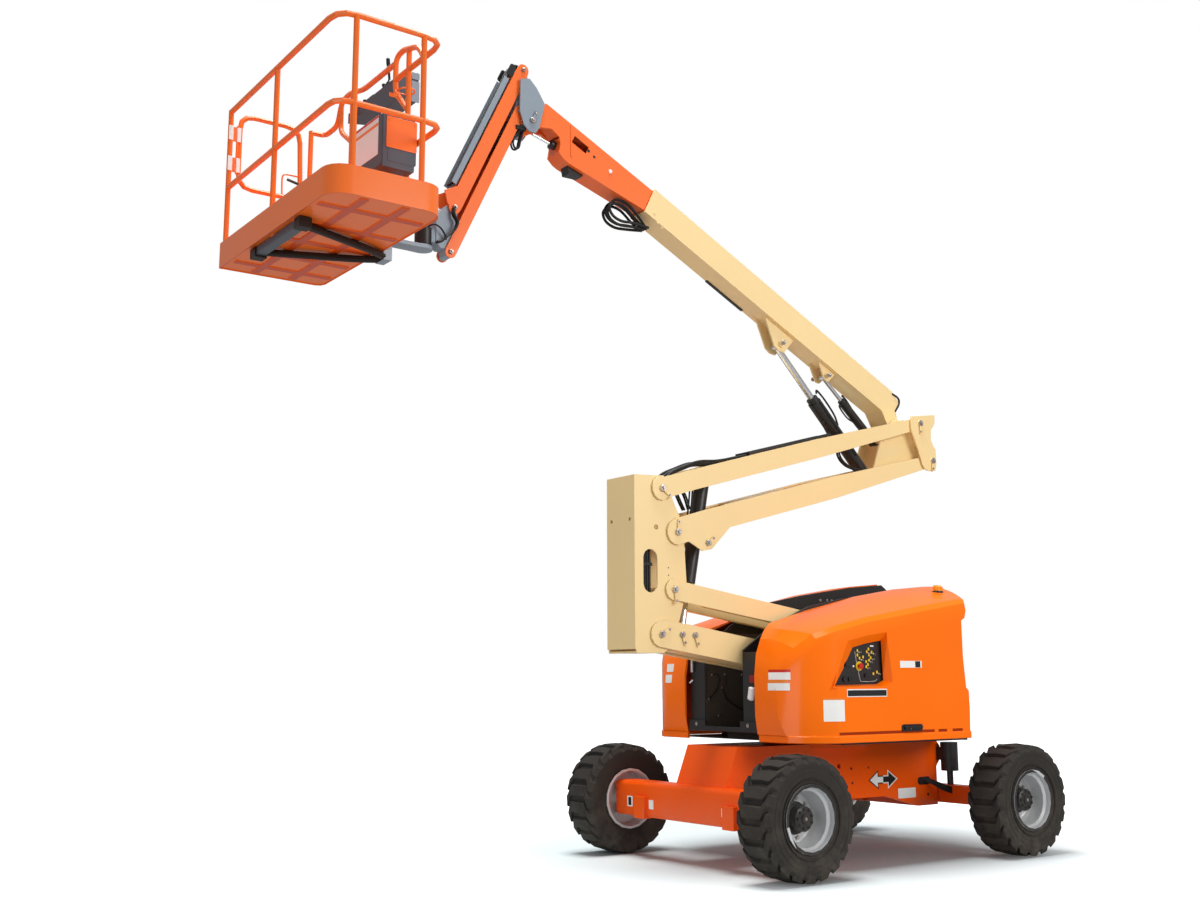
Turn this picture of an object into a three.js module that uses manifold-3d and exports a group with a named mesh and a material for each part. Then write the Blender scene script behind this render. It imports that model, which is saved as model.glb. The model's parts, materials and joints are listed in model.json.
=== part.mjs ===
// Articulating boom lift: a four-wheeled chassis carries a slewing turntable, a four-arm tower,
// a telescopic main boom, a parallelogram jib and a rotating work platform.
// Units are millimetres, +Z is up, the boom points to -X and the machine's left side is -Y.
// Shapes are first laid out about the middle of the wheelbase, on the ground; the whole group is
// then moved along X so that the origin lies under the middle of the machine's own length.
import * as THREE from 'three';
import { mergeVertices } from 'three/addons/utils/BufferGeometryUtils.js';
import Module from 'manifold-3d';

const wasm = await Module();
wasm.setup();

// ---------------------------------------------------------------- driving dimensions
const DEG = Math.PI / 180;
const WHEELBASE = 2348;
const TRACK = 2019; // between the middles of the tyres
const TYRE_RADIUS = 423; // out to the tips of the lugs
const TYRE_WIDTH = 329;
const RIM_RADIUS = 221;
const AXLE_X = WHEELBASE / 2;
const DECK_Z = 855; // top of the chassis
const FRAME_HALF = 285; // half the width of the chassis
const TURNTABLE_Z = 880; // underside of the turntable floor
const FLOOR = 16; // its thickness
const TAIL_RADIUS = 1205; // swing radius of the rounded tail
const HOOD_HALF = 940; // half the width over the hoods
const CHANNEL_HALF = 222; // half the width of the slot between the hoods
const ARM_OUT = 190; // outside of the tower arms' side plates
const ARM_IN = 178; // inside of them
const FLANGE_IN = 132; // how far the flanges of the open beams reach in
const LOWER_ANGLE = 171.5 * DEG; // from the turntable pivots up to the upright
const LOWER_LENGTH = 2300;
const UPPER_ANGLE = 15.6 * DEG; // from the upright up to the knuckle
const UPPER_LENGTH = 2920;
const BOOM_ANGLE = 153.6 * DEG; // the main boom's slope, towards -X
const JIB_LENGTH = 1287;
const JIB_ANGLE = 244.7 * DEG; // the jib hangs towards -X
const FLY_STEP = 3021; // front end of the outer boom, along it from its pivot
const PIN = 28; // radius of the tower's pivot pins
const PLATFORM_DECK_Z = 4150; // underside of the platform
const LENGTH_MIDDLE = -1521.5; // X of the middle between the platform's front and the tyres' back

// Pivots in the side view, as [x, z].
const tower = {
  linkUpright: [-1540, 1992],
  armUpright: [-1665, 1668],
  linkKnuckleSide: [-1646, 2730],
  armKnuckleSide: [-1505, 2415],
};
const ahead = (from, angle, length) => [
  from[0] + Math.cos(angle) * length,
  from[1] + Math.sin(angle) * length,
];
const lowerBack = LOWER_ANGLE - Math.PI;
tower.linkTurntable = ahead(tower.linkUpright, lowerBack, LOWER_LENGTH);
tower.armTurntable = ahead(tower.armUpright, lowerBack, LOWER_LENGTH);
tower.linkKnuckle = ahead(tower.linkKnuckleSide, UPPER_ANGLE, UPPER_LENGTH);
tower.armKnuckle = ahead(tower.armKnuckleSide, UPPER_ANGLE, UPPER_LENGTH);
const boomPivot = [970, 3480];
const liftBase = [690, 3035];
const levelBase = [810, 3340];
const jibTop = [-2796, 5730];
const jibLinkTop = [-2821, 5405];
const jibFoot = ahead(jibTop, JIB_ANGLE, JIB_LENGTH);
const jibLinkFoot = ahead(jibLinkTop, JIB_ANGLE, JIB_LENGTH);
const supportPivot = [-2735, 5345];
const rotator = [-3553, 0]; // x and y of the platform's upright turning axis

// ---------------------------------------------------------------- finishes
const finish = (color, roughness, metalness) =>
  new THREE.MeshStandardMaterial({ color, roughness, metalness });
const ORANGE = [0xf0621a, 0.38, 0.0];
const CREAM = [0xf3dfa2, 0.42, 0.0];
const BLACK = [0x1c1b1d, 0.5, 0.1];
const GREY = [0x8795a1, 0.42, 0.1];
const SLATE = [0x4a5158, 0.55, 0.1];
const CHROME = [0xd9dbdd, 0.15, 1.0];
const SILVER = [0xc3c5c6, 0.35, 0.8];
const RUBBER = [0x242424, 0.9, 0.0];
const AMBER = [0xf5a800, 0.3, 0.0];

// ---------------------------------------------------------------- solids and how they are joined
function solid(geometry) {
  const bare = geometry.clone();
  bare.deleteAttribute('normal');
  bare.deleteAttribute('uv');
  const merged = mergeVertices(bare, 1e-3);
  const corners = merged.index.array;
  const kept = [];
  for (let i = 0; i < corners.length; i += 3) {
    const [a, b, c] = [corners[i], corners[i + 1], corners[i + 2]];
    if (a !== b && b !== c && c !== a) kept.push(a, b, c);
  }
  return new wasm.Manifold(new wasm.Mesh({
    numProp: 3,
    vertProperties: Float32Array.from(merged.attributes.position.array),
    triVerts: Uint32Array.from(kept),
  }));
}

function union(parts) {
  return parts.reduce((sum, part) => sum.add(part));
}

function cut(body, tools) {
  return tools.reduce((rest, tool) => rest.subtract(tool), body);
}

const root = new THREE.Group();
root.name = 'boom_lift';
root.position.x = -LENGTH_MIDDLE;

function piece(name, body, look, parent = root) {
  const raw = body.getMesh();
  const geometry = new THREE.BufferGeometry();
  geometry.setAttribute('position', new THREE.BufferAttribute(raw.vertProperties, 3));
  geometry.setIndex(new THREE.BufferAttribute(raw.triVerts, 1));
  const shown = geometry.toNonIndexed();
  shown.computeVertexNormals();
  const mesh = new THREE.Mesh(shown, finish(...look));
  mesh.name = name;
  parent.add(mesh);
  return mesh;
}

function box(x0, x1, y0, y1, z0, z1) {
  const geometry = new THREE.BoxGeometry(x1 - x0, y1 - y0, z1 - z0);
  geometry.translate((x0 + x1) / 2, (y0 + y1) / 2, (z0 + z1) / 2);
  return solid(geometry);
}

// An outline in one plane, carried straight along the third axis.
const toXZ = new THREE.Matrix4().makeBasis(
  new THREE.Vector3(1, 0, 0), new THREE.Vector3(0, 0, 1), new THREE.Vector3(0, -1, 0));
const toYZ = new THREE.Matrix4().makeBasis(
  new THREE.Vector3(0, 1, 0), new THREE.Vector3(0, 0, 1), new THREE.Vector3(1, 0, 0));

function shapeOf(points) {
  return new THREE.Shape(points.map(([u, v]) => new THREE.Vector2(u, v)));
}

function extrudeXZ(points, y0, y1) {
  const geometry = new THREE.ExtrudeGeometry(shapeOf(points), { depth: y1 - y0, bevelEnabled: false });
  return solid(geometry.applyMatrix4(toXZ).translate(0, y1, 0));
}

function extrudeXY(points, z0, z1) {
  const geometry = new THREE.ExtrudeGeometry(shapeOf(points), { depth: z1 - z0, bevelEnabled: false });
  return solid(geometry.translate(0, 0, z0));
}

function extrudeYZ(points, x0, x1) {
  const geometry = new THREE.ExtrudeGeometry(shapeOf(points), { depth: x1 - x0, bevelEnabled: false });
  return solid(geometry.applyMatrix4(toYZ).translate(x0, 0, 0));
}

function mirrored(body) {
  return body.mirror([0, 1, 0]);
}

function bothSides(body) {
  return body.add(mirrored(body));
}

function arc(centre, radius, from, to, steps) {
  const points = [];
  for (let i = 0; i <= steps; i += 1) {
    const angle = (from + ((to - from) * i) / steps) * DEG;
    points.push([centre[0] + Math.cos(angle) * radius, centre[1] + Math.sin(angle) * radius]);
  }
  return points;
}

function cylinderY(centre, radius, y0, y1, sides = 20) {
  const geometry = new THREE.CylinderGeometry(radius, radius, y1 - y0, sides);
  return solid(geometry.translate(centre[0], (y0 + y1) / 2, centre[1]));
}

function cylinderZ(x, y, radius, z0, z1, sides = 24, top = radius) {
  const geometry = new THREE.CylinderGeometry(top, radius, z1 - z0, sides);
  return solid(geometry.rotateX(Math.PI / 2).translate(x, y, (z0 + z1) / 2));
}

// A straight round bar between two points in the side view, at one y.
function barXZ(from, to, radius, y = 0, sides = 16) {
  const [dx, dz] = [to[0] - from[0], to[1] - from[1]];
  const geometry = new THREE.CylinderGeometry(radius, radius, Math.hypot(dx, dz), sides);
  geometry.rotateZ(-Math.PI / 2).rotateY(-Math.atan2(dz, dx));
  return solid(geometry.translate((from[0] + to[0]) / 2, y, (from[1] + to[1]) / 2));
}

// A frame for outlines: u runs along a member from its first pivot, w stands square to it.
function along(origin, angle, up = 1) {
  const [c, s] = [Math.cos(angle), Math.sin(angle)];
  return ([u, w]) => [origin[0] + u * c - w * s * up, origin[1] + u * s + w * c * up];
}

// A pipe with rounded bends through a list of [x, y, z] corners.
class Route extends THREE.Curve {
  constructor(points) {
    super();
    this.points = points;
  }
  getPointAt(t, target = new THREE.Vector3()) {
    return this.getPoint(t, target);
  }
  getPoint(t, target = new THREE.Vector3()) {
    const at = Math.min(t * (this.points.length - 1), this.points.length - 1 - 1e-9);
    const first = Math.floor(at);
    return target.copy(this.points[first]).lerp(this.points[first + 1], at - first);
  }
  getTangentAt(t, target = new THREE.Vector3()) {
    const at = Math.round(t * (this.points.length - 1));
    const before = this.points[Math.max(at - 1, 0)];
    const after = this.points[Math.min(at + 1, this.points.length - 1)];
    return target.copy(after).sub(before).normalize();
  }
  getTangent(t, target) {
    return this.getTangentAt(t, target);
  }
}

function rounded(corners, bend, steps = 4) {
  const at = corners.map((c) => new THREE.Vector3(...c));
  const points = [at[0]];
  for (let i = 1; i < at.length - 1; i += 1) {
    const before = at[i - 1].clone().sub(at[i]);
    const after = at[i + 1].clone().sub(at[i]);
    const reach = Math.min(bend, before.length() * 0.49, after.length() * 0.49);
    const start = at[i].clone().addScaledVector(before.normalize(), reach);
    const end = at[i].clone().addScaledVector(after.normalize(), reach);
    const curve = new THREE.QuadraticBezierCurve3(start, at[i], end);
    points.push(...curve.getPoints(steps));
  }
  points.push(at[at.length - 1]);
  return points;
}

function pipe(corners, radius, bend = 0, sides = 8, steps = 4) {
  const points = bend ? rounded(corners, bend, steps) : corners.map((c) => new THREE.Vector3(...c));
  const ring = new THREE.Shape(arc([0, 0], radius, 0, 360 - 360 / sides, sides - 1)
    .map(([x, y]) => new THREE.Vector2(x, y)));
  return solid(new THREE.ExtrudeGeometry(ring, {
    steps: points.length - 1, extrudePath: new Route(points), bevelEnabled: false,
  }));
}

// A profile of [radius, height] turned about the upright axis.
function turned(profile, sides) {
  const points = profile.map(([r, h]) => new THREE.Vector2(r, h));
  return new THREE.LatheGeometry(points, sides);
}

// ---------------------------------------------------------------- chassis
const frameOutline = [
  [-1055, DECK_Z], [-1172, 571], [-1172, 440], [-880, 430], [480, 430], [860, 335],
  [1100, 335], [1100, 640], [1150, 700], [1150, 800], [1100, DECK_Z],
];
const frameInside = [
  [-1000, DECK_Z - 120], [-1090, 500], [-880, 420], [470, 420], [840, 320], [840, DECK_Z - 120],
];
const axleBox = { x0: -AXLE_X - 100, x1: -AXLE_X + 100, z0: 306, z1: 571, half: 915, fold: 34 };
function foldedBox({ x0, x1, z0, z1, fold }) {
  return [
    ...arc([x1 - fold, z1 - fold], fold, 0, 90, 3), ...arc([x0 + fold, z1 - fold], fold, 90, 180, 3),
    ...arc([x0 + fold, z0 + fold], fold, 180, 270, 3), ...arc([x1 - fold, z0 + fold], fold, 270, 360, 3),
  ];
}
// Lashing lugs stand on the front of the axle box; each is a thick plate with a round nose and an eye.
const lashing = { ys: [576, -459], halfWidth: 62, reach: 34, z0: 300, z1: 462, eye: 26 };
const lashingLug = (y) => box(axleBox.x0 - lashing.reach, axleBox.x0 + 40,
  y - lashing.halfWidth, y + lashing.halfWidth, lashing.z0, lashing.z1).subtract(
  cylinderZ(axleBox.x0 - lashing.reach / 2 - 2, y, lashing.eye / 2, 0, 900, 10));
const chassis = cut(union([
  extrudeXZ(frameOutline, -FRAME_HALF, FRAME_HALF),
  extrudeXZ(foldedBox(axleBox), -axleBox.half, axleBox.half),
  cylinderZ(0, 0, 420, DECK_Z - 30, DECK_Z + 6, 32),
  ...lashing.ys.map(lashingLug),
]), [
  cylinderY([-19, 680], 20, -FRAME_HALF - 5, -FRAME_HALF + 20, 12),
  extrudeXZ(frameInside, -FRAME_HALF + 16, FRAME_HALF - 16).subtract(
    box(-430, -410, -400, 400, 0, 900)).subtract(box(300, 320, -400, 400, 0, 900)),
]);
piece('chassis_frame', chassis, ORANGE);

piece('swing_bearing', cylinderZ(0, 0, 400, DECK_Z + 6.3, TURNTABLE_Z - 0.3, 40), BLACK);

// The steering axle: a beam that rocks on a pin under the frame, with a fork at each end.
const KINGPIN_Y = 742;
const steerBeam = union([
  box(AXLE_X - 62, AXLE_X + 62, -640, 640, 352, 494),
  box(AXLE_X - 62, AXLE_X + 62, -150, 150, 494, 560),
  ...[-1, 1].flatMap((side) => [
    box(AXLE_X - 62, AXLE_X + 62, Math.min(side * 600, side * 655), Math.max(side * 600, side * 655), 300, 546),
    box(AXLE_X - 50, AXLE_X + 50, Math.min(side * 640, side * 790), Math.max(side * 640, side * 790), 300, 330),
    box(AXLE_X - 50, AXLE_X + 50, Math.min(side * 640, side * 790), Math.max(side * 640, side * 790), 516, 546),
  ]),
]);
piece('steer_axle_beam', steerBeam, ORANGE);

// Two upright cylinders lock the rocking axle while the tower is up.
const oscillation = { y: 360, barrel: 70, top: 832, low: 604, rod: 26, foot: 494.3 };
for (const [side, name] of [[-1, 'left'], [1, 'right']]) {
  const y = side * oscillation.y;
  const body = union([
    cylinderZ(AXLE_X, y, oscillation.barrel, oscillation.low, oscillation.top, 20),
    cylinderZ(AXLE_X, y, oscillation.rod, oscillation.foot, oscillation.low + 10, 12),
    box(1100.3, AXLE_X, y - 40 * side - 34, y - 40 * side + 34, 690, 790),
    box(1100.3, AXLE_X, Math.min(y, side * 265), Math.max(y, side * 265), 715, 775),
  ]).subtract(extrudeXZ(frameOutline, -FRAME_HALF - 0.3, FRAME_HALF + 0.3));
  piece(`oscillation_cylinder_${name}`, body, BLACK);
}

// ---------------------------------------------------------------- wheels
const SIDE = TYRE_WIDTH / 2;
const BEAD = RIM_RADIUS + 1.5;
const LUG = { count: 20, flank: 0.09, land: 0.58, lag: 0.55, stagger: 0.5 }; // widths in pitches
const PITCH = (2 * Math.PI) / LUG.count;
// The tyre's rings, from one bead round the tread to the other. A smooth ring has two points a
// lug; a tread ring has four, at the foot and the top of both flanks. The lugs run in a chevron:
// at the shoulders they lag behind the crown, and the two halves are staggered.
const tyreRings = [ // y, radius between lugs, radius on the lugs (none on a smooth ring), lag
  [-SIDE + 30, BEAD, null, -LUG.lag],
  [-SIDE + 3, 300, null, -LUG.lag],
  [-SIDE + 5, 366, 376, -LUG.lag],
  [-SIDE + 26, 390, TYRE_RADIUS - 9, -LUG.lag],
  [-5, 397, TYRE_RADIUS, 0],
  [5, 397, TYRE_RADIUS, LUG.stagger],
  [SIDE - 26, 390, TYRE_RADIUS - 9, LUG.stagger - LUG.lag],
  [SIDE - 5, 366, 376, LUG.stagger - LUG.lag],
  [SIDE - 3, 300, null, LUG.stagger - LUG.lag],
  [SIDE - 30, BEAD, null, LUG.stagger - LUG.lag],
];

function tyre() {
  const { flank, land, count } = LUG;
  const points = [];
  const rings = tyreRings.map(([y, low, high, lag]) => {
    const steps = high
      ? [[0, low], [flank, high], [flank + land, high], [2 * flank + land, low]]
      : [[flank + land / 2, low], [flank + land / 2 + 0.5, low]];
    const first = points.length;
    for (let k = 0; k < count; k += 1) {
      for (const [at, radius] of steps) {
        const angle = (k + at + lag - flank) * PITCH;
        points.push([-Math.sin(angle) * radius, y, -Math.cos(angle) * radius]);
      }
    }
    const size = count * steps.length;
    return { each: steps.length, at: (j) => first + ((j + size) % size), size };
  });
  const faces = [];
  rings.forEach((lower, i) => {
    const upper = rings[(i + 1) % rings.length];
    if (lower.each === upper.each) {
      for (let j = 0; j < lower.size; j += 1) {
        faces.push([lower.at(j), lower.at(j + 1), upper.at(j + 1)], [lower.at(j), upper.at(j + 1), upper.at(j)]);
      }
      return;
    }
    const [smooth, tread] = lower.each === 2 ? [lower, upper] : [upper, lower];
    const turn = ([a, b, c]) => (lower === smooth ? [a, c, b] : [a, b, c]);
    for (let k = 0; k < count; k += 1) {
      const [s, t] = [2 * k, 4 * k];
      for (const [j, apex] of [[0, 0], [1, 0], [2, 1], [3, 1]]) {
        faces.push(turn([tread.at(t + j), tread.at(t + j + 1), smooth.at(s + apex)]));
      }
      faces.push(turn([smooth.at(s), tread.at(t + 2), smooth.at(s + 1)]));
      faces.push(turn([smooth.at(s + 1), tread.at(t + 4), smooth.at(s + 2)]));
    }
  });
  const geometry = new THREE.BufferGeometry();
  geometry.setAttribute('position', new THREE.Float32BufferAttribute(points.flat(), 3));
  geometry.setIndex(faces.flat());
  return solid(geometry);
}

// Rim, disc and planetary hub in one turning: a wide deep rim with stepped seats, a disc far in
// towards the machine, and the hub standing out through it to just inside the lip.
function rim() {
  return solid(turned([
    [0, -85], [90, -85], [90, -50], [196, -52], [RIM_RADIUS - 8, -SIDE + 12],
    [RIM_RADIUS + 11, -SIDE + 12], [RIM_RADIUS + 11, -SIDE + 22], [RIM_RADIUS, -SIDE + 28],
    [RIM_RADIUS, SIDE - 28], [RIM_RADIUS + 11, SIDE - 22], [RIM_RADIUS + 11, SIDE - 12],
    [RIM_RADIUS - 11, SIDE - 12], [204, SIDE - 48], [188, SIDE - 64], [184, 0], [166, -26],
    [112, -18], [108, 0], [86, 6], [84, 78], [66, 88], [0, 88],
  ], 18));
}

const tyreBody = tyre();
const rimBody = rim();
const wheels = [ // name, x, side
  ['fixed_left', -AXLE_X, -1], ['fixed_right', -AXLE_X, 1],
  ['steer_left', AXLE_X, -1], ['steer_right', AXLE_X, 1],
];
for (const [name, x, side] of wheels) {
  const wheel = new THREE.Group();
  wheel.position.set(x, (side * TRACK) / 2, TYRE_RADIUS);
  wheel.rotation.z = side < 0 ? Math.PI : 0;
  root.add(wheel);
  piece(`tyre_${name}`, tyreBody, RUBBER, wheel);
  piece(`rim_${name}`, rimBody, SILVER, wheel);
}

// Steering knuckles: a post on the kingpin axis and a spindle into the hub.
for (const [side, name] of [[-1, 'left'], [1, 'right']]) {
  const spindle = barAcross(AXLE_X, TYRE_RADIUS, 62, KINGPIN_Y, TRACK / 2 - 86, side, 16);
  const arm = extrudeXY([[AXLE_X + 30, side * 728], [AXLE_X + 30, side * 775], [AXLE_X + 190, side * 770],
    [AXLE_X + 190, side * 732]], 352, 376);
  const body = union([
    cylinderZ(AXLE_X, side * KINGPIN_Y, 42, 335, 511, 20), spindle, arm,
  ]);
  piece(`steer_knuckle_${name}`, body, BLACK);
}

function barAcross(x, z, radius, from, to, side, sides = 16) {
  return cylinderY([x, z], radius, Math.min(side * from, side * to), Math.max(side * from, side * to), sides);
}

// ---------------------------------------------------------------- turntable
// Closed rings of points, skinned from the first to the last and capped at both ends. flat() gives
// a ring's two flat axes, whose cross product points along the run.
function loft(rings, flat) {
  const count = rings[0].length;
  const corners = rings.flat();
  const faces = [];
  for (let i = 0; i < rings.length - 1; i += 1) {
    for (let j = 0; j < count; j += 1) {
      const next = (j + 1) % count;
      const [a, b] = [i * count + j, i * count + next];
      const [c, d] = [b + count, a + count];
      faces.push(a, b, c, a, c, d);
    }
  }
  const caps = [[0, true], [rings.length - 1, false]];
  for (const [at, turnedOver] of caps) {
    const contour = rings[at].map((p) => new THREE.Vector2(...flat(p)));
    for (const [a, b, c] of THREE.ShapeUtils.triangulateShape(contour, [])) {
      const face = turnedOver ? [a, c, b] : [a, b, c];
      faces.push(...face.map((k) => k + at * count));
    }
  }
  const geometry = new THREE.BufferGeometry();
  geometry.setAttribute('position', new THREE.Float32BufferAttribute(corners.flat(), 3));
  geometry.setIndex(faces);
  return solid(geometry);
}

// Circle about the turntable's axis that the tail keeps inside, as [radius, height].
const tailProfile = [
  [0, 860], [TAIL_RADIUS - 25, 890], [TAIL_RADIUS - 5, 930], [TAIL_RADIUS, 1130], [TAIL_RADIUS - 3, 1255],
  [TAIL_RADIUS - 20, 1276], [1155, 1783], [1196, 1812], [1208, 1870], [1196, 1950], [1120, 2060],
  [1000, 2300], [0, 2300],
];
function tailLimit(inset) {
  const profile = tailProfile.map(([r, z]) => [Math.max(r - inset, 0), z]);
  const geometry = turned(profile, 96).rotateX(Math.PI / 2);
  return solid(geometry).add(box(-1200, 700, -1200, 1200, 860, 2300));
}
const tailOuter = tailLimit(0);
const tailInner = tailLimit(12);

const SKIN = 12;
const RIGHT_RISE = 48; // the engine's hood stands a little taller
const hoodSections = [ // x, inner edge, outer edge, bottom, shoulder, crown
  [-980, 405, 640, 1080, 1300, 1380],
  [-955, 400, 700, 950, 1480, 1530],
  [-900, 390, 790, 895, 1560, 1640],
  [-800, 330, 880, 895, 1660, 1715],
  [-670, 243, 940, 895, 1710, 1765],
  [-300, 243, 940, 895, 1790, 1868],
  [250, 243, 940, 895, 1880, 1995],
  [713, 243, 940, 897, 1950, 2070],
  [1215, 243, 940, 897, 1990, 2118],
];

function hoodRing([x, yIn, yOut, low, shoulder, crown], rise, inset) {
  const lift = rise * Math.min(1, Math.max(0, (x + 980) / 600));
  const outer = yOut - inset;
  const inner = inset ? yIn - 40 : yIn;
  const run = outer - inner;
  const [zs, zc] = [shoulder + lift - inset, crown + lift - inset];
  const bottom = inset ? low - 60 : low;
  return [
    [inner, bottom], [outer, bottom], [outer, zs - 90], [outer - 14, zs - 30], [outer - 52, zs + 6],
    [inner + run * 0.62, zs + (zc - zs) * 0.55], [inner + run * 0.3, zc - 6], [inner, zc],
  ].map(([y, z]) => [x + (x < -700 ? inset * 1.2 : 0), y, z]);
}

function hoodShell(rise) {
  const flat = ([, y, z]) => [y, z];
  const outside = loft(hoodSections.map((row) => hoodRing(row, rise, 0)), flat).intersect(tailOuter);
  const inside = loft(hoodSections.map((row) => hoodRing(row, rise, SKIN)), flat).intersect(tailInner);
  return outside.subtract(inside);
}

// The control window stands at the bottom of a shallow dished recess in the left hood.
const recess = {
  rim: [[-720, 1290], [-180, 1290], [-88, 1320], [-140, 1701], [-370, 1668], [-575, 1626], [-650, 1480]],
  window: [[-632, 1304], [-217, 1309], [-141, 1337], [-150, 1622], [-300, 1600], [-444, 1568], [-530, 1440]],
  rimY: -948,
  windowY: -884,
  skin: 10,
};
function recessBody(grow, reach) {
  const flat = ([x, , z]) => [x, z];
  const swell = (points) => points.map(([x, z]) => [
    x + Math.sign(x + 400) * grow, z + Math.sign(z - 1480) * grow]);
  const ring = (points, y) => swell(points).map(([x, z]) => [x, y, z]);
  return loft([ring(recess.window, recess.windowY + reach), ring(recess.rim, recess.rimY - reach)], flat);
}
const hollowRecess = recessBody(0, 4);
const hoodSide = box(-1200, 700, -HOOD_HALF, -860, 900, 2000);
const leftHood = mirrored(hoodShell(0))
  .add(recessBody(recess.skin, 0).intersect(hoodSide))
  .subtract(hollowRecess);

// A lip stands out along the foot of each hood, with a row of short slots above it.
const slots = [[-930, 340], [380, 480], [540, 660]];
const slotCuts = slots.map(([x0, x1]) => box(x0, x1, -HOOD_HALF - 20, -HOOD_HALF + 5, 950, 972));
piece('hood_left', cut(leftHood, slotCuts), ORANGE);
const beaconAt = { x: 790, y: -640, base: 1980, foot: 2036, top: 2082, radius: 40 };
const leftOutside = mirrored(loft(hoodSections.map((row) => hoodRing(row, 0, 0)), ([, y, z]) => [y, z]));
piece('beacon', cylinderZ(beaconAt.x, beaconAt.y, beaconAt.radius + 6, beaconAt.base, beaconAt.foot, 16)
  .add(cylinderZ(beaconAt.x, beaconAt.y, beaconAt.radius, beaconAt.base, beaconAt.top, 16, beaconAt.radius - 9))
  .subtract(leftOutside.translate([0, 0, 0.3])), AMBER);
piece('hood_right', cut(hoodShell(RIGHT_RISE), slotCuts.map(mirrored)), ORANGE);

// Black walls carry the tower on either side of the slot, with a bulkhead out to each hood.
const wallTop = [[-930, 1560], [-661, 1735], [-245, 1905], [124, 1975], [679, 2058], [1080, 2096], [1150, 2050]];
// The floor's raised front step. Its lip dips in the middle, where the arm comes down.
const SHELF = { x0: -950, x1: -544, half: 392, low: 958, top: 974, lip: 1037, dip: 996, dipHalf: 200 };
function sideFrame(side, rise) {
  const top = wallTop.map(([x, z]) => [x, z + rise * Math.min(1, Math.max(0, (x + 980) / 600))]);
  const low = TURNTABLE_Z + FLOOR + 0.3;
  const outline = [[-930, SHELF.top + 0.3], ...top, [1150, low], [SHELF.x1 + 0.3, low],
    [SHELF.x1 + 0.3, SHELF.top + 0.3]];
  const wall = extrudeXZ(outline, CHANNEL_HALF, CHANNEL_HALF + 16);
  const bulkhead = box(-930, -914, CHANNEL_HALF, 386, SHELF.top + 0.3, 1545);
  const stubs = [tower.armTurntable, tower.linkTurntable].map((at) =>
    cylinderY(at, PIN, 172, CHANNEL_HALF + 4, 12).add(cylinderY(at, 62, 196, CHANNEL_HALF + 1, 12)));
  const body = union([wall, bulkhead, ...stubs]);
  return side < 0 ? mirrored(body) : body;
}
piece('side_frame_left', sideFrame(-1, 0), BLACK);
piece('side_frame_right', sideFrame(1, RIGHT_RISE), BLACK);

const floorHalf = [
  [SHELF.x1 - 16, 0], [SHELF.x1 - 16, 880], [713, 880],
  ...arc([0, 0], TAIL_RADIUS - 30, 51, 0, 14),
];
const floorOutline = [...floorHalf, ...floorHalf.slice(1, -1).reverse().map(([x, y]) => [x, -y])];
const turntableFloor = extrudeXY(floorOutline, TURNTABLE_Z, TURNTABLE_Z + FLOOR);
piece('turntable_base', union([
  turntableFloor,
  box(SHELF.x1 - 16, SHELF.x1, -SHELF.half, SHELF.half, TURNTABLE_Z, SHELF.top),
  box(SHELF.x0, SHELF.x1, -SHELF.half, SHELF.half, SHELF.low, SHELF.top),
  box(SHELF.x0, SHELF.x0 + 14, -SHELF.half, SHELF.half, SHELF.low, SHELF.dip),
  bothSides(box(SHELF.x0, SHELF.x0 + 14, SHELF.dipHalf, SHELF.half, SHELF.low, SHELF.lip)),
]), BLACK);

// Hydraulic valve block on the floor of the slot, under the arms' sweep.
piece('valve_block', union([
  box(60, 420, -150, 150, TURNTABLE_Z + FLOOR + 0.3, 1010),
  box(110, 370, -110, 110, 1005, 1060),
  ...[-70, 0, 70].map((y) => cylinderZ(240, y, 24, 1050, 1105, 8)),
]), BLACK);

const tailMass = extrudeXY([
  [930, -CHANNEL_HALF + 0.3], ...arc([0, 0], TAIL_RADIUS - 8, -10.4, 10.4, 8), [930, CHANNEL_HALF - 0.3],
], TURNTABLE_Z + FLOOR + 0.3, 1800);
piece('counterweight', tailMass, ORANGE);

piece('engine_block', union([
  box(-420, 420, 330, 760, 960, 1420), box(-300, 300, 400, 700, 1420, 1640),
  box(-640, -420, 360, 720, 1000, 1500), box(-360, 360, 380, 460, TURNTABLE_Z + FLOOR + 0.3, 960),
  box(-360, 360, 620, 700, TURNTABLE_Z + FLOOR + 0.3, 960),
]), BLACK);
piece('hydraulic_tank', box(40, 620, -830, -330, TURNTABLE_Z + FLOOR + 0.3, 1560), BLACK);
piece('ground_control_panel', union([
  extrudeXZ([[-650, 1290], [-120, 1290], [-130, 1640], [-440, 1590], [-550, 1450]], -868, -560),
  box(-520, -260, -800, -600, TURNTABLE_Z + FLOOR + 0.3, 1291),
]), BLACK);

// ---------------------------------------------------------------- tower
const PIN_HOLE = PIN + 1.5;

// A strip of plate along a member: its outline follows the given edge points and is `thick` deep.
function strip(frame, edge, thick, y0, y1) {
  const outline = [...edge.map(frame), ...[...edge].reverse().map(([u, w]) => frame([u, w - thick]))];
  return extrudeXZ(outline, y0, y1);
}

function edgeBetween(edge, from, to) {
  const heightAt = (u) => {
    const next = edge.findIndex((p) => p[0] >= u);
    const [a, b] = [edge[Math.max(next - 1, 0)], edge[Math.max(next, 1)]];
    return a[1] + ((b[1] - a[1]) * (u - a[0])) / (b[0] - a[0]);
  };
  const inner = edge.filter(([u]) => u > from && u < to);
  return [[from, heightAt(from)], ...inner, [to, heightAt(to)]];
}

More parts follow.
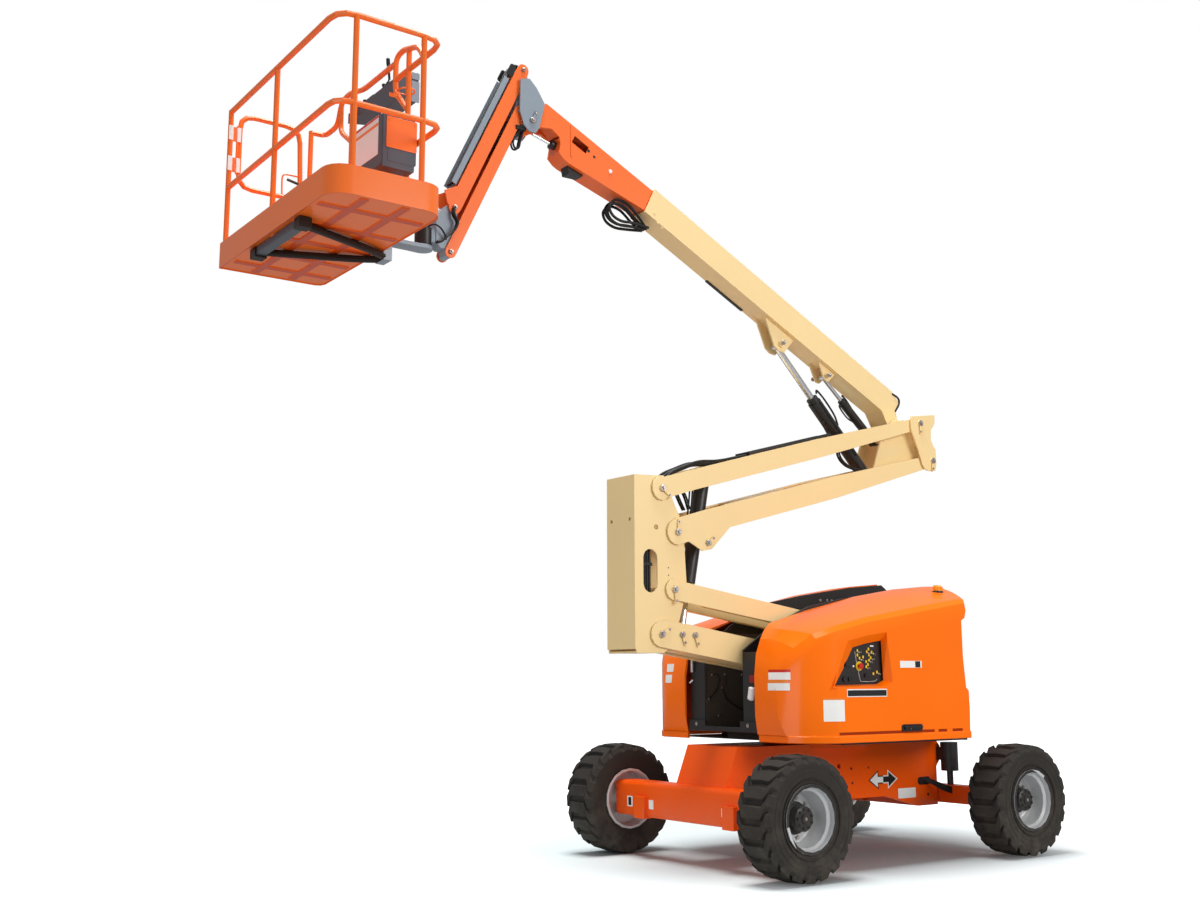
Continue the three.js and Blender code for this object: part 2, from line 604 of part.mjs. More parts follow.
// An arm of two side plates with round ends, joined by flanges or by full-width plates.
function arm({ origin, angle, length, startRound, endRound, top, bottom, plates, flanges, extra = [] }) {
  const frame = along(origin, angle);
  const outline = [
    ...arc([0, 0], startRound, 262, 98, 6), ...top, ...arc([length, 0], endRound, 82, -82, 6),
    ...[...bottom].reverse(),
  ].map(frame);
  const side = extrudeXZ(outline, ARM_IN, ARM_OUT);
  const parts = [bothSides(side)];
  for (const [edge, from, to] of plates) {
    const line = edge === 'top' ? top : bottom.map(([u, w]) => [u, w + 26]);
    parts.push(strip(frame, edgeBetween(line, from, to), 12, -ARM_IN - 2, ARM_IN + 2));
  }
  for (const [from, to] of flanges) {
    const low = bottom.map(([u, w]) => [u, w + 12]);
    parts.push(bothSides(strip(frame, edgeBetween(top, from, to), 12, FLANGE_IN, ARM_IN + 2)));
    parts.push(bothSides(strip(frame, edgeBetween(low, from, to), 12, FLANGE_IN, ARM_IN + 2)));
  }
  const holes = [[0, 0], [length, 0]].map((at) => cylinderY(frame(at), PIN_HOLE, -300, 300, 10));
  return cut(union([...parts, ...extra.map((build) => build(frame))]), holes);
}

const lowerDown = LOWER_ANGLE - Math.PI;
const pinHead = (at, y = ARM_OUT) => (frame) => bothSides(cylinderY(frame(at), 24, y - 4, y + 9, 10));

piece('lower_arm_main', arm({
  origin: tower.armUpright, angle: lowerDown, length: LOWER_LENGTH, startRound: 92, endRound: 80,
  top: [[30, 104], [220, 110], [1800, 110], [2250, 78]],
  bottom: [[20, -92], [1900, -92], [2260, -76]],
  plates: [['top', 620, 2050], ['bottom', 250, 2050]], flanges: [[250, 2120]],
  extra: [
    pinHead([192, 29]), pinHead([317, 43]),
    (f) => bothSides(cylinderY(f([317, 43]), 30, 44, ARM_IN + 2, 14)),
  ],
}), CREAM);
piece('lower_arm_link', arm({
  origin: tower.linkUpright, angle: lowerDown, length: LOWER_LENGTH, startRound: 78, endRound: 72,
  top: [[20, 70], [2280, 70]], bottom: [[20, -75], [2280, -70]],
  plates: [['top', 1500, 1900]], flanges: [[300, 2110]],
}), CREAM);

const uprightOutline = [
  [-1890, 2815], [-1618, 2827], [-1546, 2673], [-1472, 2537], [-1433, 2361], [-1414, 2045],
  [-1450, 1883], [-1490, 1758], [-1571, 1577], [-1627, 1537], [-1875, 1532], [-1890, 1623],
];
const UPRIGHT_OUT = 170;
const uprightSide = cut(extrudeXZ(uprightOutline, UPRIGHT_OUT - 12, UPRIGHT_OUT), [
  extrudeXZ([
    ...arc([-1748, 2215], 64, 0, 180, 8), ...arc([-1748, 2028], 64, 180, 360, 8),
  ], 0, 400),
  cylinderY([-1693, 2441], 20, 0, 400, 10),
]);
const uprightPins = Object.entries(tower).filter(([name]) => !/Turntable|Knuckle$/.test(name));
piece('tower_upright', union([
  bothSides(uprightSide),
  box(-1890, -1878, -UPRIGHT_OUT, UPRIGHT_OUT, 1560, 2815).subtract(
    bothSides(box(-1900, -1870, 100, 124, 2480, 2504))),
  extrudeXZ([[-1890, 2803], [-1890, 2815], [-1618, 2827], [-1618, 2815]], -UPRIGHT_OUT, UPRIGHT_OUT),
  box(-1875, -1630, -UPRIGHT_OUT, UPRIGHT_OUT, 1534, 1546),
  cylinderY([-1700, 1900], 30, -UPRIGHT_OUT + 4, UPRIGHT_OUT - 4, 12),
  cylinderY([-1700, 2560], 30, -UPRIGHT_OUT + 4, UPRIGHT_OUT - 4, 12),
  ...uprightPins.map(([, at]) => cylinderY(at, PIN, -ARM_OUT - 9, ARM_OUT + 9, 10)),
]), CREAM);

piece('upper_arm_main', arm({
  origin: tower.armKnuckleSide, angle: UPPER_ANGLE, length: UPPER_LENGTH, startRound: 95, endRound: 50,
  top: [[24, 100], [300, 105], [1700, 92], [2800, 54], [2905, 50]],
  bottom: [[0, -90], [84, -90], [193, -187], [283, -192], [507, -72], [1700, -82], [2800, -54], [2905, -50]],
  plates: [['top', 730, 1240], ['bottom', 670, 1240]], flanges: [[540, 2780]],
  extra: [(f) => bothSides(cylinderY(f([271, -138]), 24, 66, ARM_OUT + 9, 14))],
}), CREAM);
piece('upper_arm_link', arm({
  origin: tower.linkKnuckleSide, angle: UPPER_ANGLE, length: UPPER_LENGTH, startRound: 90, endRound: 50,
  top: [[20, 78], [300, 78], [1700, 78], [2800, 52], [2905, 50]],
  bottom: [[20, -78], [300, -72], [1700, -72], [2800, -52], [2905, -50]],
  plates: [['bottom', 760, 960]], flanges: [[300, 2780]],
}), CREAM);

const knuckleOutline = [
  [1058, 3564], [1057, 3446], [1135, 3280], [1178, 3162], [1205, 3125], [1239, 3110], [1310, 3108],
  [1342, 3120], [1359, 3187], [1354, 3301], [1320, 3344], [1302, 3384], [1302, 3430], [1308, 3473],
  [1357, 3531], [1362, 3611],
];
const noseOutline = [
  ...arc(liftBase, 52, 200, 290, 5), [1140, 3090], [1250, 3200], [1250, 3400], [1060, 3545],
  ...arc(boomPivot, 62, 60, 140, 4), ...arc(levelBase, 50, 130, 200, 3),
];
piece('boom_knuckle', union([
  bothSides(extrudeXZ(knuckleOutline, 198, 212)),
  bothSides(extrudeXZ(noseOutline, 105, 122)),
  bothSides(cylinderY([1237, 3358], 46, 105, 212, 12)),
  ...[tower.linkKnuckle, tower.armKnuckle].map((at) =>
    bothSides(cylinderY(at, PIN, 105, 220, 10))),
  cylinderY(boomPivot, 25, -126, 126, 12),
  cylinderY(liftBase, 22, -126, 126, 10),
  cylinderY(levelBase, 18, -126, 126, 10),
]), CREAM);

// ---------------------------------------------------------------- cylinders
// A barrel with a welded eye at its foot and a gland at its mouth, and a rod with an eye.
function barrel({ foot, head, radius, eye, eyeHalf, hole, bore }) {
  const run = [head[0] - foot[0], head[1] - foot[1]];
  const length = Math.hypot(...run);
  const at = (d) => [foot[0] + (run[0] * d) / length, foot[1] + (run[1] * d) / length];
  const parts = [
    barXZ(at(eye * 0.6), at(length - 40), radius, 0, 14),
    barXZ(at(length - 42), head, radius * 0.86, 0, 14),
    cylinderY(foot, eye, -eyeHalf, eyeHalf, 14),
  ];
  return union(parts).subtract(cylinderY(foot, hole, -200, 200, 10))
    .subtract(barXZ(at(length - bore), at(length + 40), radius * 0.56, 0, 10));
}

function rod({ foot, head, radius, eye, eyeHalf, inside }) {
  const run = [head[0] - foot[0], head[1] - foot[1]];
  const length = Math.hypot(...run);
  const at = (d) => [foot[0] + (run[0] * d) / length, foot[1] + (run[1] * d) / length];
  return union([
    barXZ(at(inside), at(length - eye * 0.7), radius, 0, 10),
    cylinderY(head, eye, -eyeHalf, eyeHalf, 14),
  ]);
}

const towerTrunnion = along(tower.armKnuckleSide, UPPER_ANGLE)([271, -138]);
const towerFoot = along(tower.armUpright, lowerDown)([317, 43]);
const towerAxis = Math.atan2(towerTrunnion[1] - towerFoot[1], towerTrunnion[0] - towerFoot[0]);
const towerAt = (d) => ahead(towerFoot, towerAxis, d);
const TRUNNION_AT = Math.hypot(towerTrunnion[0] - towerFoot[0], towerTrunnion[1] - towerFoot[1]);
const towerBarrel = union([
  barXZ(towerAt(TRUNNION_AT - 300), towerAt(TRUNNION_AT + 470), 56, 0, 16),
  cylinderY(towerTrunnion, 36, -60, 60, 12),
]).subtract(barXZ(towerAt(TRUNNION_AT - 340), towerAt(TRUNNION_AT + 370), 31, 0, 12));
piece('tower_cylinder_barrel', towerBarrel, BLACK);
piece('tower_cylinder_rod', union([
  barXZ(towerAt(30), towerAt(TRUNNION_AT + 215), 28, 0, 12), cylinderY(towerFoot, 40, -38, 38, 14),
]), CHROME);

// ---------------------------------------------------------------- main boom
const boomAt = along(boomPivot, BOOM_ANGLE, -1);
const BOOM_HALF = 96;
const BOOM_LOW = 50;
const BOOM_TOP = 274;
const WALL = 8;
const bracketLift = [[1760, 58], [1623, 40], [1440, -118], [1383, -129], [1325, -110], [1275, 58]];
const bracketLevel = [[987, 58], [860, -48], [832, -58], [802, -46], [757, 58]];
const liftEye = boomAt([1383, -71]);
const levelEye = boomAt([830, -10]);
const tailOutline = [
  [FLY_STEP, BOOM_LOW], [FLY_STEP, BOOM_TOP], [145, BOOM_TOP - 2], [32, 229], [40, 140],
  ...arc([0, 0], 60, 120, 300, 8), [110, -6], [178, 40], [196, BOOM_LOW],
];
const cheeks = (outline) => bothSides(extrudeXZ(outline.map(boomAt), 44, 60));
piece('base_boom', cut(union([
  extrudeXZ(tailOutline.map(boomAt), -BOOM_HALF, BOOM_HALF).subtract(
    extrudeXZ([[240, BOOM_LOW + WALL], [240, BOOM_TOP - WALL], [3100, BOOM_TOP - WALL],
      [3100, BOOM_LOW + WALL]].map(boomAt), -BOOM_HALF + WALL, BOOM_HALF - WALL)),
  cheeks(bracketLift), cheeks(bracketLevel),
  bothSides(cylinderY(liftEye, 24, 44, 78, 14)),
  bothSides(cylinderY(levelEye, 20, 44, 74, 14)),
]), [
  cylinderY(boomPivot, 26.5, -200, 200, 12),
  extrudeXZ([[765, 40], [885, 40], [885, 62], [765, 62]].map(boomAt), -37, 37),
]), CREAM);

const FLY_HALF = 80;
const flyTip = 4108;
const flyOutline = [
  [420, 64], [420, 258], [FLY_STEP, 258], [flyTip, 236], [4118, 200], [4128, 110], [4165, 78],
  ...arc([4148, 23], 52, 60, -90, 6), [4100, -28], [4060, 40], [3980, 92], [3900, 80], [3870, 40],
  [3850, -30], [3790, -48], [3740, -48], [3090, 56], [3040, 64],
];
const flyCavity = [
  [380, 72], [380, 250], [3000, 250], [4080, 228], [4080, 120], [3960, 104], [3860, 60], [3840, -20],
  [3740, -38], [3090, 66], [3040, 72],
];
const flyWindow = [[3795, 180], [3795, 118], [3655, 118], [3655, 180]];
const flyTongue = extrudeXZ([
  [4060, 40], [4100, -28], ...arc([4148, 23], 52, -90, 60, 6), [4165, 78], [4090, 120],
].map(boomAt), -30, 30);
piece('fly_boom', cut(extrudeXZ(flyOutline.map(boomAt), -FLY_HALF, FLY_HALF).subtract(
  extrudeXZ(flyCavity.map(boomAt), -FLY_HALF + WALL, FLY_HALF - WALL)), [
  extrudeXZ(flyWindow.map(boomAt), -100, 100),
  box(-5000, 5000, -52, 52, 0, 9000).intersect(extrudeXZ([
    [3872, 60], [3880, -100], [4300, -100], [4300, 130], [4085, 120], [3960, 100]].map(boomAt), -60, 60)),
  cylinderY(boomAt([4148, 23]), 23, -200, 200, 14),
]), ORANGE);

const between = (foot, head, d) => {
  const length = Math.hypot(head[0] - foot[0], head[1] - foot[1]);
  return [foot[0] + ((head[0] - foot[0]) * d) / length, foot[1] + ((head[1] - foot[1]) * d) / length];
};
const liftMouth = between(liftBase, liftEye, 856);
const levelMouth = between(levelBase, levelEye, 500);
piece('lift_cylinder_barrel', barrel({
  foot: liftBase, head: liftMouth, radius: 57, eye: 46, eyeHalf: 60, hole: 23.5, bore: 700,
}), BLACK);
piece('lift_cylinder_rod', rod({
  foot: liftMouth, head: liftEye, radius: 27, eye: 30, eyeHalf: 36, inside: -405,
}), CHROME);
piece('level_cylinder_barrel', barrel({
  foot: levelBase, head: levelMouth, radius: 36, eye: 30, eyeHalf: 34, hole: 19.5, bore: 320,
}), BLACK);
piece('level_cylinder_rod', rod({
  foot: levelMouth, head: levelEye, radius: 17, eye: 22, eyeHalf: 31, inside: -190,
}), CHROME);

// ---------------------------------------------------------------- jib
const supportOutline = [
  [-2705, 5258], [-2676, 5300], [-2628, 5499], [-2699, 5605], [-2760, 5662], [-2836, 5640],
  [-2842, 5400], [-2808, 5300], [-2760, 5258],
];
const supportCheek = extrudeXZ(supportOutline, 86, 98);
const tongueOutline = [
  [-2728, 5600], ...arc(jibTop, 40, 40, 200, 6), ...arc(jibLinkTop, 34, 160, 290, 6), [-2776, 5420],
  [-2754, 5490],
];
piece('jib_support', union([
  bothSides(supportCheek),
  bothSides(extrudeXZ(tongueOutline, 34, 50)),
  extrudeXZ([[-2702, 5600], [-2761, 5657], [-2774, 5645], [-2716, 5590]], -92, 92),
  bothSides(extrudeXZ([[-2721, 5592], [-2764, 5634], [-2791, 5561], [-2751, 5525]], 40, 92)),
  cylinderY(supportPivot, 22, -106, 106, 10),
  cylinderY(jibTop, 16, -50, 50, 10),
  bothSides(cylinderY(jibTop, 16, 40, 76, 10)),
  bothSides(cylinderY(jibLinkTop, 16, 34, 76, 10)),
]), GREY);

const JIB_HALF = 66;
const jibFrame = along(jibTop, JIB_ANGLE);
const linkFrame = along(jibLinkTop, JIB_ANGLE);
function jibMember({ frame, length, round, top, bottom, webTop, webBottom }) {
  const outline = [
    ...arc([0, 0], round, 262, 98, 6), ...top, ...arc([length, 0], round, 82, -82, 6),
    ...[...bottom].reverse(),
  ].map(frame);
  const parts = [bothSides(extrudeXZ(outline, JIB_HALF - 10, JIB_HALF))];
  const low = bottom.map(([u, w]) => [u, w + 8]);
  if (webTop) parts.push(strip(frame, edgeBetween(top, ...webTop), 8, -JIB_HALF, JIB_HALF));
  if (webBottom) parts.push(strip(frame, edgeBetween(low, ...webBottom), 8, -JIB_HALF, JIB_HALF));
  const holes = [[0, 0], [length, 0]].map((at) => cylinderY(frame(at), 17, -200, 200, 10));
  return cut(union(parts), holes);
}
piece('jib_beam', jibMember({
  frame: jibFrame, length: JIB_LENGTH, round: 46,
  top: [[10, 48], [1200, 48], [1270, 48]], bottom: [[10, -48], [1130, -50], [1220, -120], [1290, -60]],
  webTop: null, webBottom: [60, 1100],
}), ORANGE);
piece('jib_link', jibMember({
  frame: linkFrame, length: JIB_LENGTH, round: 42,
  top: [[10, 42], [1280, 42]], bottom: [[10, -42], [1280, -42]],
  webTop: [70, 1190], webBottom: null,
}), ORANGE);

const jibRodEye = jibLinkTop;
const jibBarrelFoot = jibFrame([1060, 0]);
piece('jib_cylinder_barrel', barrel({
  foot: jibBarrelFoot, head: between(jibBarrelFoot, jibRodEye, 684), radius: 27, eye: 26,
  eyeHalf: 28, hole: 10, bore: 642,
}), BLACK);
piece('jib_cylinder_rod', rod({
  foot: jibBarrelFoot, head: jibRodEye, radius: 13, eye: 22, eyeHalf: 24, inside: 46,
}), CHROME);

const headOutline = [
  ...arc(jibFoot, 40, 20, 120, 5), [-3420, 4560], [-3478, 4480], [-3478, 4300], [-3440, 4262.3],
  [-3404, 4262.3], ...arc(jibLinkFoot, 36, 220, 340, 5), [-3330, 4420],
];
const ROTATOR = { radius: 56, low: 4262.3, top: 4404, lugTop: 4440 };
piece('jib_head', union([
  extrudeXZ(headOutline, -50, 50),
  ...[jibFoot, jibLinkFoot].map((at) => cylinderY(at, 16, -76, 76, 10)),
  cylinderZ(rotator[0], 0, ROTATOR.radius, ROTATOR.low, ROTATOR.top, 18),
  box(rotator[0], -3470, -44, 44, 4290, 4390),
]), GREY);

// ---------------------------------------------------------------- work platform
const deck = { x0: -4640, x1: -3880, y0: -930, y1: 920, z0: 4150, sheet: 4157, toe: 4330 };
const WALL_SHEET = 5;
const CORNER = 140;
function deckOutline(inset) {
  const [x0, x1] = [deck.x0 + inset, deck.x1 - inset];
  const [y0, y1] = [deck.y0 + inset, deck.y1 - inset];
  const r = CORNER - inset;
  const tight = 60 - inset;
  return [
    ...arc([x1 - tight, y1 - tight], tight, 0, 90, 2), [x0, y1], ...arc([x0 + r, y0 + r], r, 180, 270, 5),
    ...arc([x1 - r, y0 + r], r, 270, 360, 5),
  ];
}
// The deck is one pressed tray. Shallow ribs cross under its sheet.
const deckRibs = [
  ...[-660, -300, 60, 420, 720].map((y) => box(deck.x0 + 40, deck.x1 - 30, y - 26, y + 26, deck.z0, deck.sheet + 2)),
  ...[-4400, -4130].map((x) => box(x - 26, x + 26, deck.y0 + 50, deck.y1 - 40, deck.z0, deck.sheet + 2)),
];
piece('platform_floor', union([
  extrudeXY(deckOutline(0), deck.z0, deck.toe).subtract(
    extrudeXY(deckOutline(WALL_SHEET), deck.sheet + 7, deck.toe + 10)).subtract(
    extrudeXY(deckOutline(WALL_SHEET), deck.z0 - 10, deck.sheet)),
  ...deckRibs,
]), ORANGE);

// A wedge-shaped frame under the deck: a square bar at the outer side, two tubes that close in
// on a thick arm, and the arm's round pad on the rotator.
const frameZ = deck.z0 - 25.3;
const arm2D = [
  ...arc([rotator[0], 0], 68, -90, 90, 8), [-3640, 62], [-3800, 62], [-3800, -62], [-3640, -62],
];
piece('platform_support_frame', union([
  box(-4600, -4540, -400, 400, frameZ - 25, frameZ + 25),
  ...[-1, 1].map((side) => box(-4612, -4528, side * 365 - 42, side * 365 + 42, frameZ - 40, frameZ + 25)),
  ...[-1, 1].map((side) => pipe([[-4560, side * 335, frameZ], [-3985, side * 112, frameZ],
    [-3850, side * 30, frameZ]], 25, 80, 10, 3)),
  extrudeXZ([[-3790, 4262], [-3640, 4262], [-3640, 4236], [-3770, 4236], [-3812, 4200], [-3812, frameZ - 25],
    [-3872, frameZ - 25], [-3872, frameZ + 25], [-3850, 4186]], -62, 62),
  extrudeXY(arm2D, 4236, 4262),
]), SLATE);

const RAIL = 19;
const tube = (points, bend = 0, steps = 3) => pipe(points, RAIL, bend, 8, steps);
const [railX0, railX1] = [deck.x0 + 24.5, deck.x1 - 24.5];
const [railY0, railY1] = [deck.y0 + 24.5, deck.y1 - 24.5];
const railFoot = deck.sheet + 7.3;
const TOP_RAIL = 5285;
const MID_RAIL = 4727;
const cornerPost = [railX0, railY1 - 15];
const gatePostX = -4013;
const guardPosts = [-430, 430]; // y of the posts on either side of the console
const upright = (x, y, top = TOP_RAIL) => tube([[x, y, railFoot], [x, y, top]]);
piece('platform_rails', union([
  upright(...cornerPost, TOP_RAIL + 8),
  tube([[...cornerPost, TOP_RAIL], [railX0, railY0, TOP_RAIL], [railX1, railY0, TOP_RAIL],
    [railX1, -240, TOP_RAIL]], 135),
  tube([[...cornerPost, MID_RAIL], [railX0, railY0, MID_RAIL], [railX1, railY0, MID_RAIL],
    [railX1, railY1, MID_RAIL], [gatePostX, railY1, MID_RAIL]], 110),
  upright(railX0, 35),
  upright(-4498, railY0),
  upright(-4043, railY0),
  upright(gatePostX, railY1, TOP_RAIL + 8),
  tube([[gatePostX, railY1, TOP_RAIL], [railX1, railY1, TOP_RAIL], [railX1, 680, TOP_RAIL],
    [railX1, 620, 5445], [railX1, 480, 5462], [railX1, 250, 5404], [railX1, -240, 5404]], 60, 3),
  tube([[railX1, -640, TOP_RAIL], [railX1, -560, 5395], [railX1, -340, 5458], [railX1, -240, 5440],
    [railX1, -240, 5200], [railX1, -430, 5000]], 60, 3),
  tube([[railX1, 620, 5440], [railX1, 620, 5220], [railX1, 430, 5080]], 60, 3),
  ...guardPosts.map((y) => upright(railX1, y, 5425)),
  ...hingeLeaves(railX0 + 12, gateHingeX() - 10),
]), ORANGE);

// The gate fills the far end. It is hinged at the corner post on two plates and swings in over the deck.
function gateHingeX() {
  return railX0 + 50;
}
function hingeLeaves(x0, x1) {
  return [4850, 5075].map((z) => box(x0, x1, railY1 - 18, railY1 - 12, z, z + 105));
}
const gateX = gateHingeX() + 22;
const gateLow = 4752;
const gateHigh = 5288;
piece('platform_gate', union([
  tube([[gateX, railY1, 5000], [gateX, railY1, gateLow], [-4080, railY1, gateLow], [-4100, railY1, gateHigh],
    [gateX, railY1, gateHigh], [gateX, railY1, 5000.01]], 105),
  cylinderZ(gateHingeX(), railY1 - 15, 8, 4840, 5190, 10),
  ...hingeLeaves(gateHingeX(), gateX + 10),
]), ORANGE);

// Console: a tilted box outside the rails, deeper at the near end.
const consoleX = railX1 + RAIL + 1.5;
piece('control_console', union([
  extrudeXZ([[consoleX, 5156], [consoleX, 5330], [-3734, 5387], [-3721, 5195]], -235, 150),
  extrudeXZ([[consoleX, 5262], [consoleX, 5336], [-3734, 5392], [-3721, 5290]], 145, 546),
]), SLATE);
const boxX = railX1 - RAIL - 0.5; // the manual's box hangs inside the rails
piece('manual_box', union([
  box(boxX - 246, boxX - 20, -614, -200, 4505, 4862),
  box(boxX - 30, boxX, -600, -214, 4560, 4800),
]), SLATE);

export default root;
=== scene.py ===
import bmesh
import bpy
import json
import math
import numpy as np
from mathutils import Matrix, Vector
from mathutils.bvhtree import BVHTree

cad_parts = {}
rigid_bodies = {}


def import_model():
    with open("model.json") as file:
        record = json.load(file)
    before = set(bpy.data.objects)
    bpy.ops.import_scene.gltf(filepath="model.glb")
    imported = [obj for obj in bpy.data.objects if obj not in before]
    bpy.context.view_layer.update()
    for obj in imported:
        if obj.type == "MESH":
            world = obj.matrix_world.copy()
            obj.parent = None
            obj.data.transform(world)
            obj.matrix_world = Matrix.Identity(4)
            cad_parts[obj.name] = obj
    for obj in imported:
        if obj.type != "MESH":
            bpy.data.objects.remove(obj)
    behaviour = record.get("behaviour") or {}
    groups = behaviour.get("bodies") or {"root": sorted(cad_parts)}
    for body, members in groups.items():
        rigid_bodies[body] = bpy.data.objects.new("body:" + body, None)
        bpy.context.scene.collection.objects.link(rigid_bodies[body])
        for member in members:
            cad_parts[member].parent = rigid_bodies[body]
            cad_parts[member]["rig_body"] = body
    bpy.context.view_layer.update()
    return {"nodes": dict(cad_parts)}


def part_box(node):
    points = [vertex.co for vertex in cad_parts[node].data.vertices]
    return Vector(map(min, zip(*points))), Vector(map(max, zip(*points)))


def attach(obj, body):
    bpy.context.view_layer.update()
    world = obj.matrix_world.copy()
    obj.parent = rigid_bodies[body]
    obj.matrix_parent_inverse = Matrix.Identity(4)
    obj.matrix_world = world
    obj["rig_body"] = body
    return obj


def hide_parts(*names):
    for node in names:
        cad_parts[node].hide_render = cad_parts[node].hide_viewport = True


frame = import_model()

nodes = frame["nodes"]

# ------------------------------------------------------------------ studio
# The machine stands on a white studio floor, lit by broad soft lamps from above, from its
# left side and from in front, with a white room all round. The floor keeps its soft shadow.
EAST, NEAR, UP = (1, 0, 0), (0, -1, 0), (0, 0, 1)
WHITE = (1.0, 1.0, 1.0, 1.0)


def feed(tree, node, given):
    """Gives each input of a node, by name or number, a value or the output that feeds it."""
    for key, value in given.items():
        if isinstance(value, bpy.types.NodeSocket):
            tree.links.new(value, node.inputs[key])
        else:
            node.inputs[key].default_value = value


def shader_node(tree, kind, given=None, **settings):
    """A shader node with its settings and what feeds it."""
    made = tree.nodes.new("ShaderNode" + kind)
    for name, value in settings.items():
        setattr(made, name, value)
    feed(tree, made, given or {})
    return made


def result_of(tree, operation, *terms, **settings):
    """The result of one operation on its terms."""
    return shader_node(tree, "Math", dict(enumerate(terms)), operation=operation, **settings).outputs[0]


scene = bpy.context.scene
eye = Vector((-6.1071, -7.8034, 1.36287))
yaw, pitch, roll = 0.618778, 0.169099, -0.002845
ahead = Vector((math.sin(yaw) * math.cos(pitch), math.cos(yaw) * math.cos(pitch), math.sin(pitch)))
level = Vector((math.cos(yaw), -math.sin(yaw), 0.0))
upward = level.cross(ahead)
right = level * math.cos(roll) + upward * math.sin(roll)
upward = right.cross(ahead)
camera = bpy.data.objects.new("camera", bpy.data.cameras.new("camera"))
sensor_width = 36.0
camera.data.sensor_width = sensor_width
camera.data.lens = sensor_width * 1331.2 / 1200.0
camera.data.clip_end = 200.0
camera.matrix_world = Matrix.Translation(eye) @ Matrix((tuple(right), tuple(upward),
    tuple(-ahead))).transposed().to_4x4()
scene.collection.objects.link(camera)
scene.camera = camera
scene.view_settings.view_transform = "Standard"

world = bpy.data.worlds.new("white_room")
world.use_nodes = True
scene.world = world
tree = world.node_tree
sky = tree.nodes["Background"]
feed(tree, sky, {"Color": (0.97, 0.98, 1.0, 1.0), "Strength": 0.4})
white_room = shader_node(tree, "Background", {"Strength": 1.0, "Color": WHITE})
path = shader_node(tree, "LightPath").outputs
seen = result_of(tree, "MAXIMUM", path["Is Camera Ray"], path["Is Transmission Ray"])
either = shader_node(tree, "MixShader", {"Fac": seen, 1: sky.outputs[0], 2: white_room.outputs[0]})
feed(tree, tree.nodes["World Output"], {"Surface": either.outputs[0]})

floor = bpy.data.objects.new("studio_floor", bpy.data.meshes.new("studio_floor"))
reach = 60.0
floor.data.from_pydata([(-reach, -reach, 0), (reach, -reach, 0), (reach, reach, 0), (-reach, reach, 0)], [],
    [(0, 1, 2, 3)])
scene.collection.objects.link(floor)
paper = bpy.data.materials.new("studio_paper")
paper.use_nodes = True
tree = paper.node_tree
tree.nodes.remove(tree.nodes["Principled BSDF"])
spot = shader_node(tree, "TexCoord").outputs["Object"]
shadow_middle = (1.5, 0.6, 0.0)
away = shader_node(tree, "VectorMath", {0: spot, 1: shadow_middle}, operation="DISTANCE").outputs["Value"]
fade = shader_node(tree, "MapRange", {"Value": away, "From Min": 1.6, "From Max": 3.9, "To Min": 0.0,
    "To Max": 1.1}, interpolation_type="SMOOTHSTEP").outputs["Result"]
# Painted light on the paper: near the machine it is tinted cool to cancel the orange light that the machine bounces
# on to it. Further out it is grey, and it glows white for the camera, fading in away from the shadow's middle.
paper_tone = shader_node(tree, "Mix", {"A": (0.76, 0.85, 0.87, 1.0), "B": (0.52, 0.52, 0.52, 1.0), "Factor": fade},
    data_type="RGBA")
matt = shader_node(tree, "BsdfDiffuse", {"Color": paper_tone.outputs["Result"]})
path = shader_node(tree, "LightPath").outputs
glow = shader_node(tree, "Emission", {"Color": WHITE, "Strength": result_of(tree, "MULTIPLY", path["Is Camera Ray"],
    fade)})
both = shader_node(tree, "AddShader", {0: matt.outputs[0], 1: glow.outputs[0]})
feed(tree, tree.nodes["Material Output"], {"Surface": both.outputs[0]})
floor.data.materials.append(paper)
unlit = bpy.data.collections.new("left_out_of_side_lights")
unlit.objects.link(floor)

for name, place, aim, size, power, tint in [
    # name, where it hangs, what it points at, its width and length in metres, watts, colour; the
    # overhead one hangs within the reach of the boom at its full height
    ("overhead_softbox", (-0.6, 0.2, 11.5), (0.6, 0.2, 0.0), (5.5, 5.5), 1400.0, (1.0, 0.99, 0.975)),
    ("side_softbox", (3.5, -11.0, 5.5), (0.2, 0.0, 2.0), (7.0, 5.0), 760.0, (1.0, 0.98, 0.95)),
    ("front_fill", (-10.5, -4.5, 1.2), (-1.2, 0.0, 3.6), (6.0, 4.0), 230.0, (0.95, 0.97, 1.0)),
]:
    lamp = bpy.data.objects.new(name, bpy.data.lights.new(name, "AREA"))
    lamp.data.shape = "RECTANGLE"
    lamp.data.size, lamp.data.size_y = size
    lamp.data.energy = power
    lamp.data.color = tint
    way = Vector(aim) - Vector(place)
    lamp.matrix_world = Matrix.Translation(place) @ way.to_track_quat("-Z", "Y").to_matrix().to_4x4()
    scene.collection.objects.link(lamp)
    if name != "overhead_softbox":  # only the overhead light draws the machine's shadow
        lamp.light_linking.receiver_collection = unlit
unlit.collection_objects[0].light_linking.link_state = "EXCLUDE"


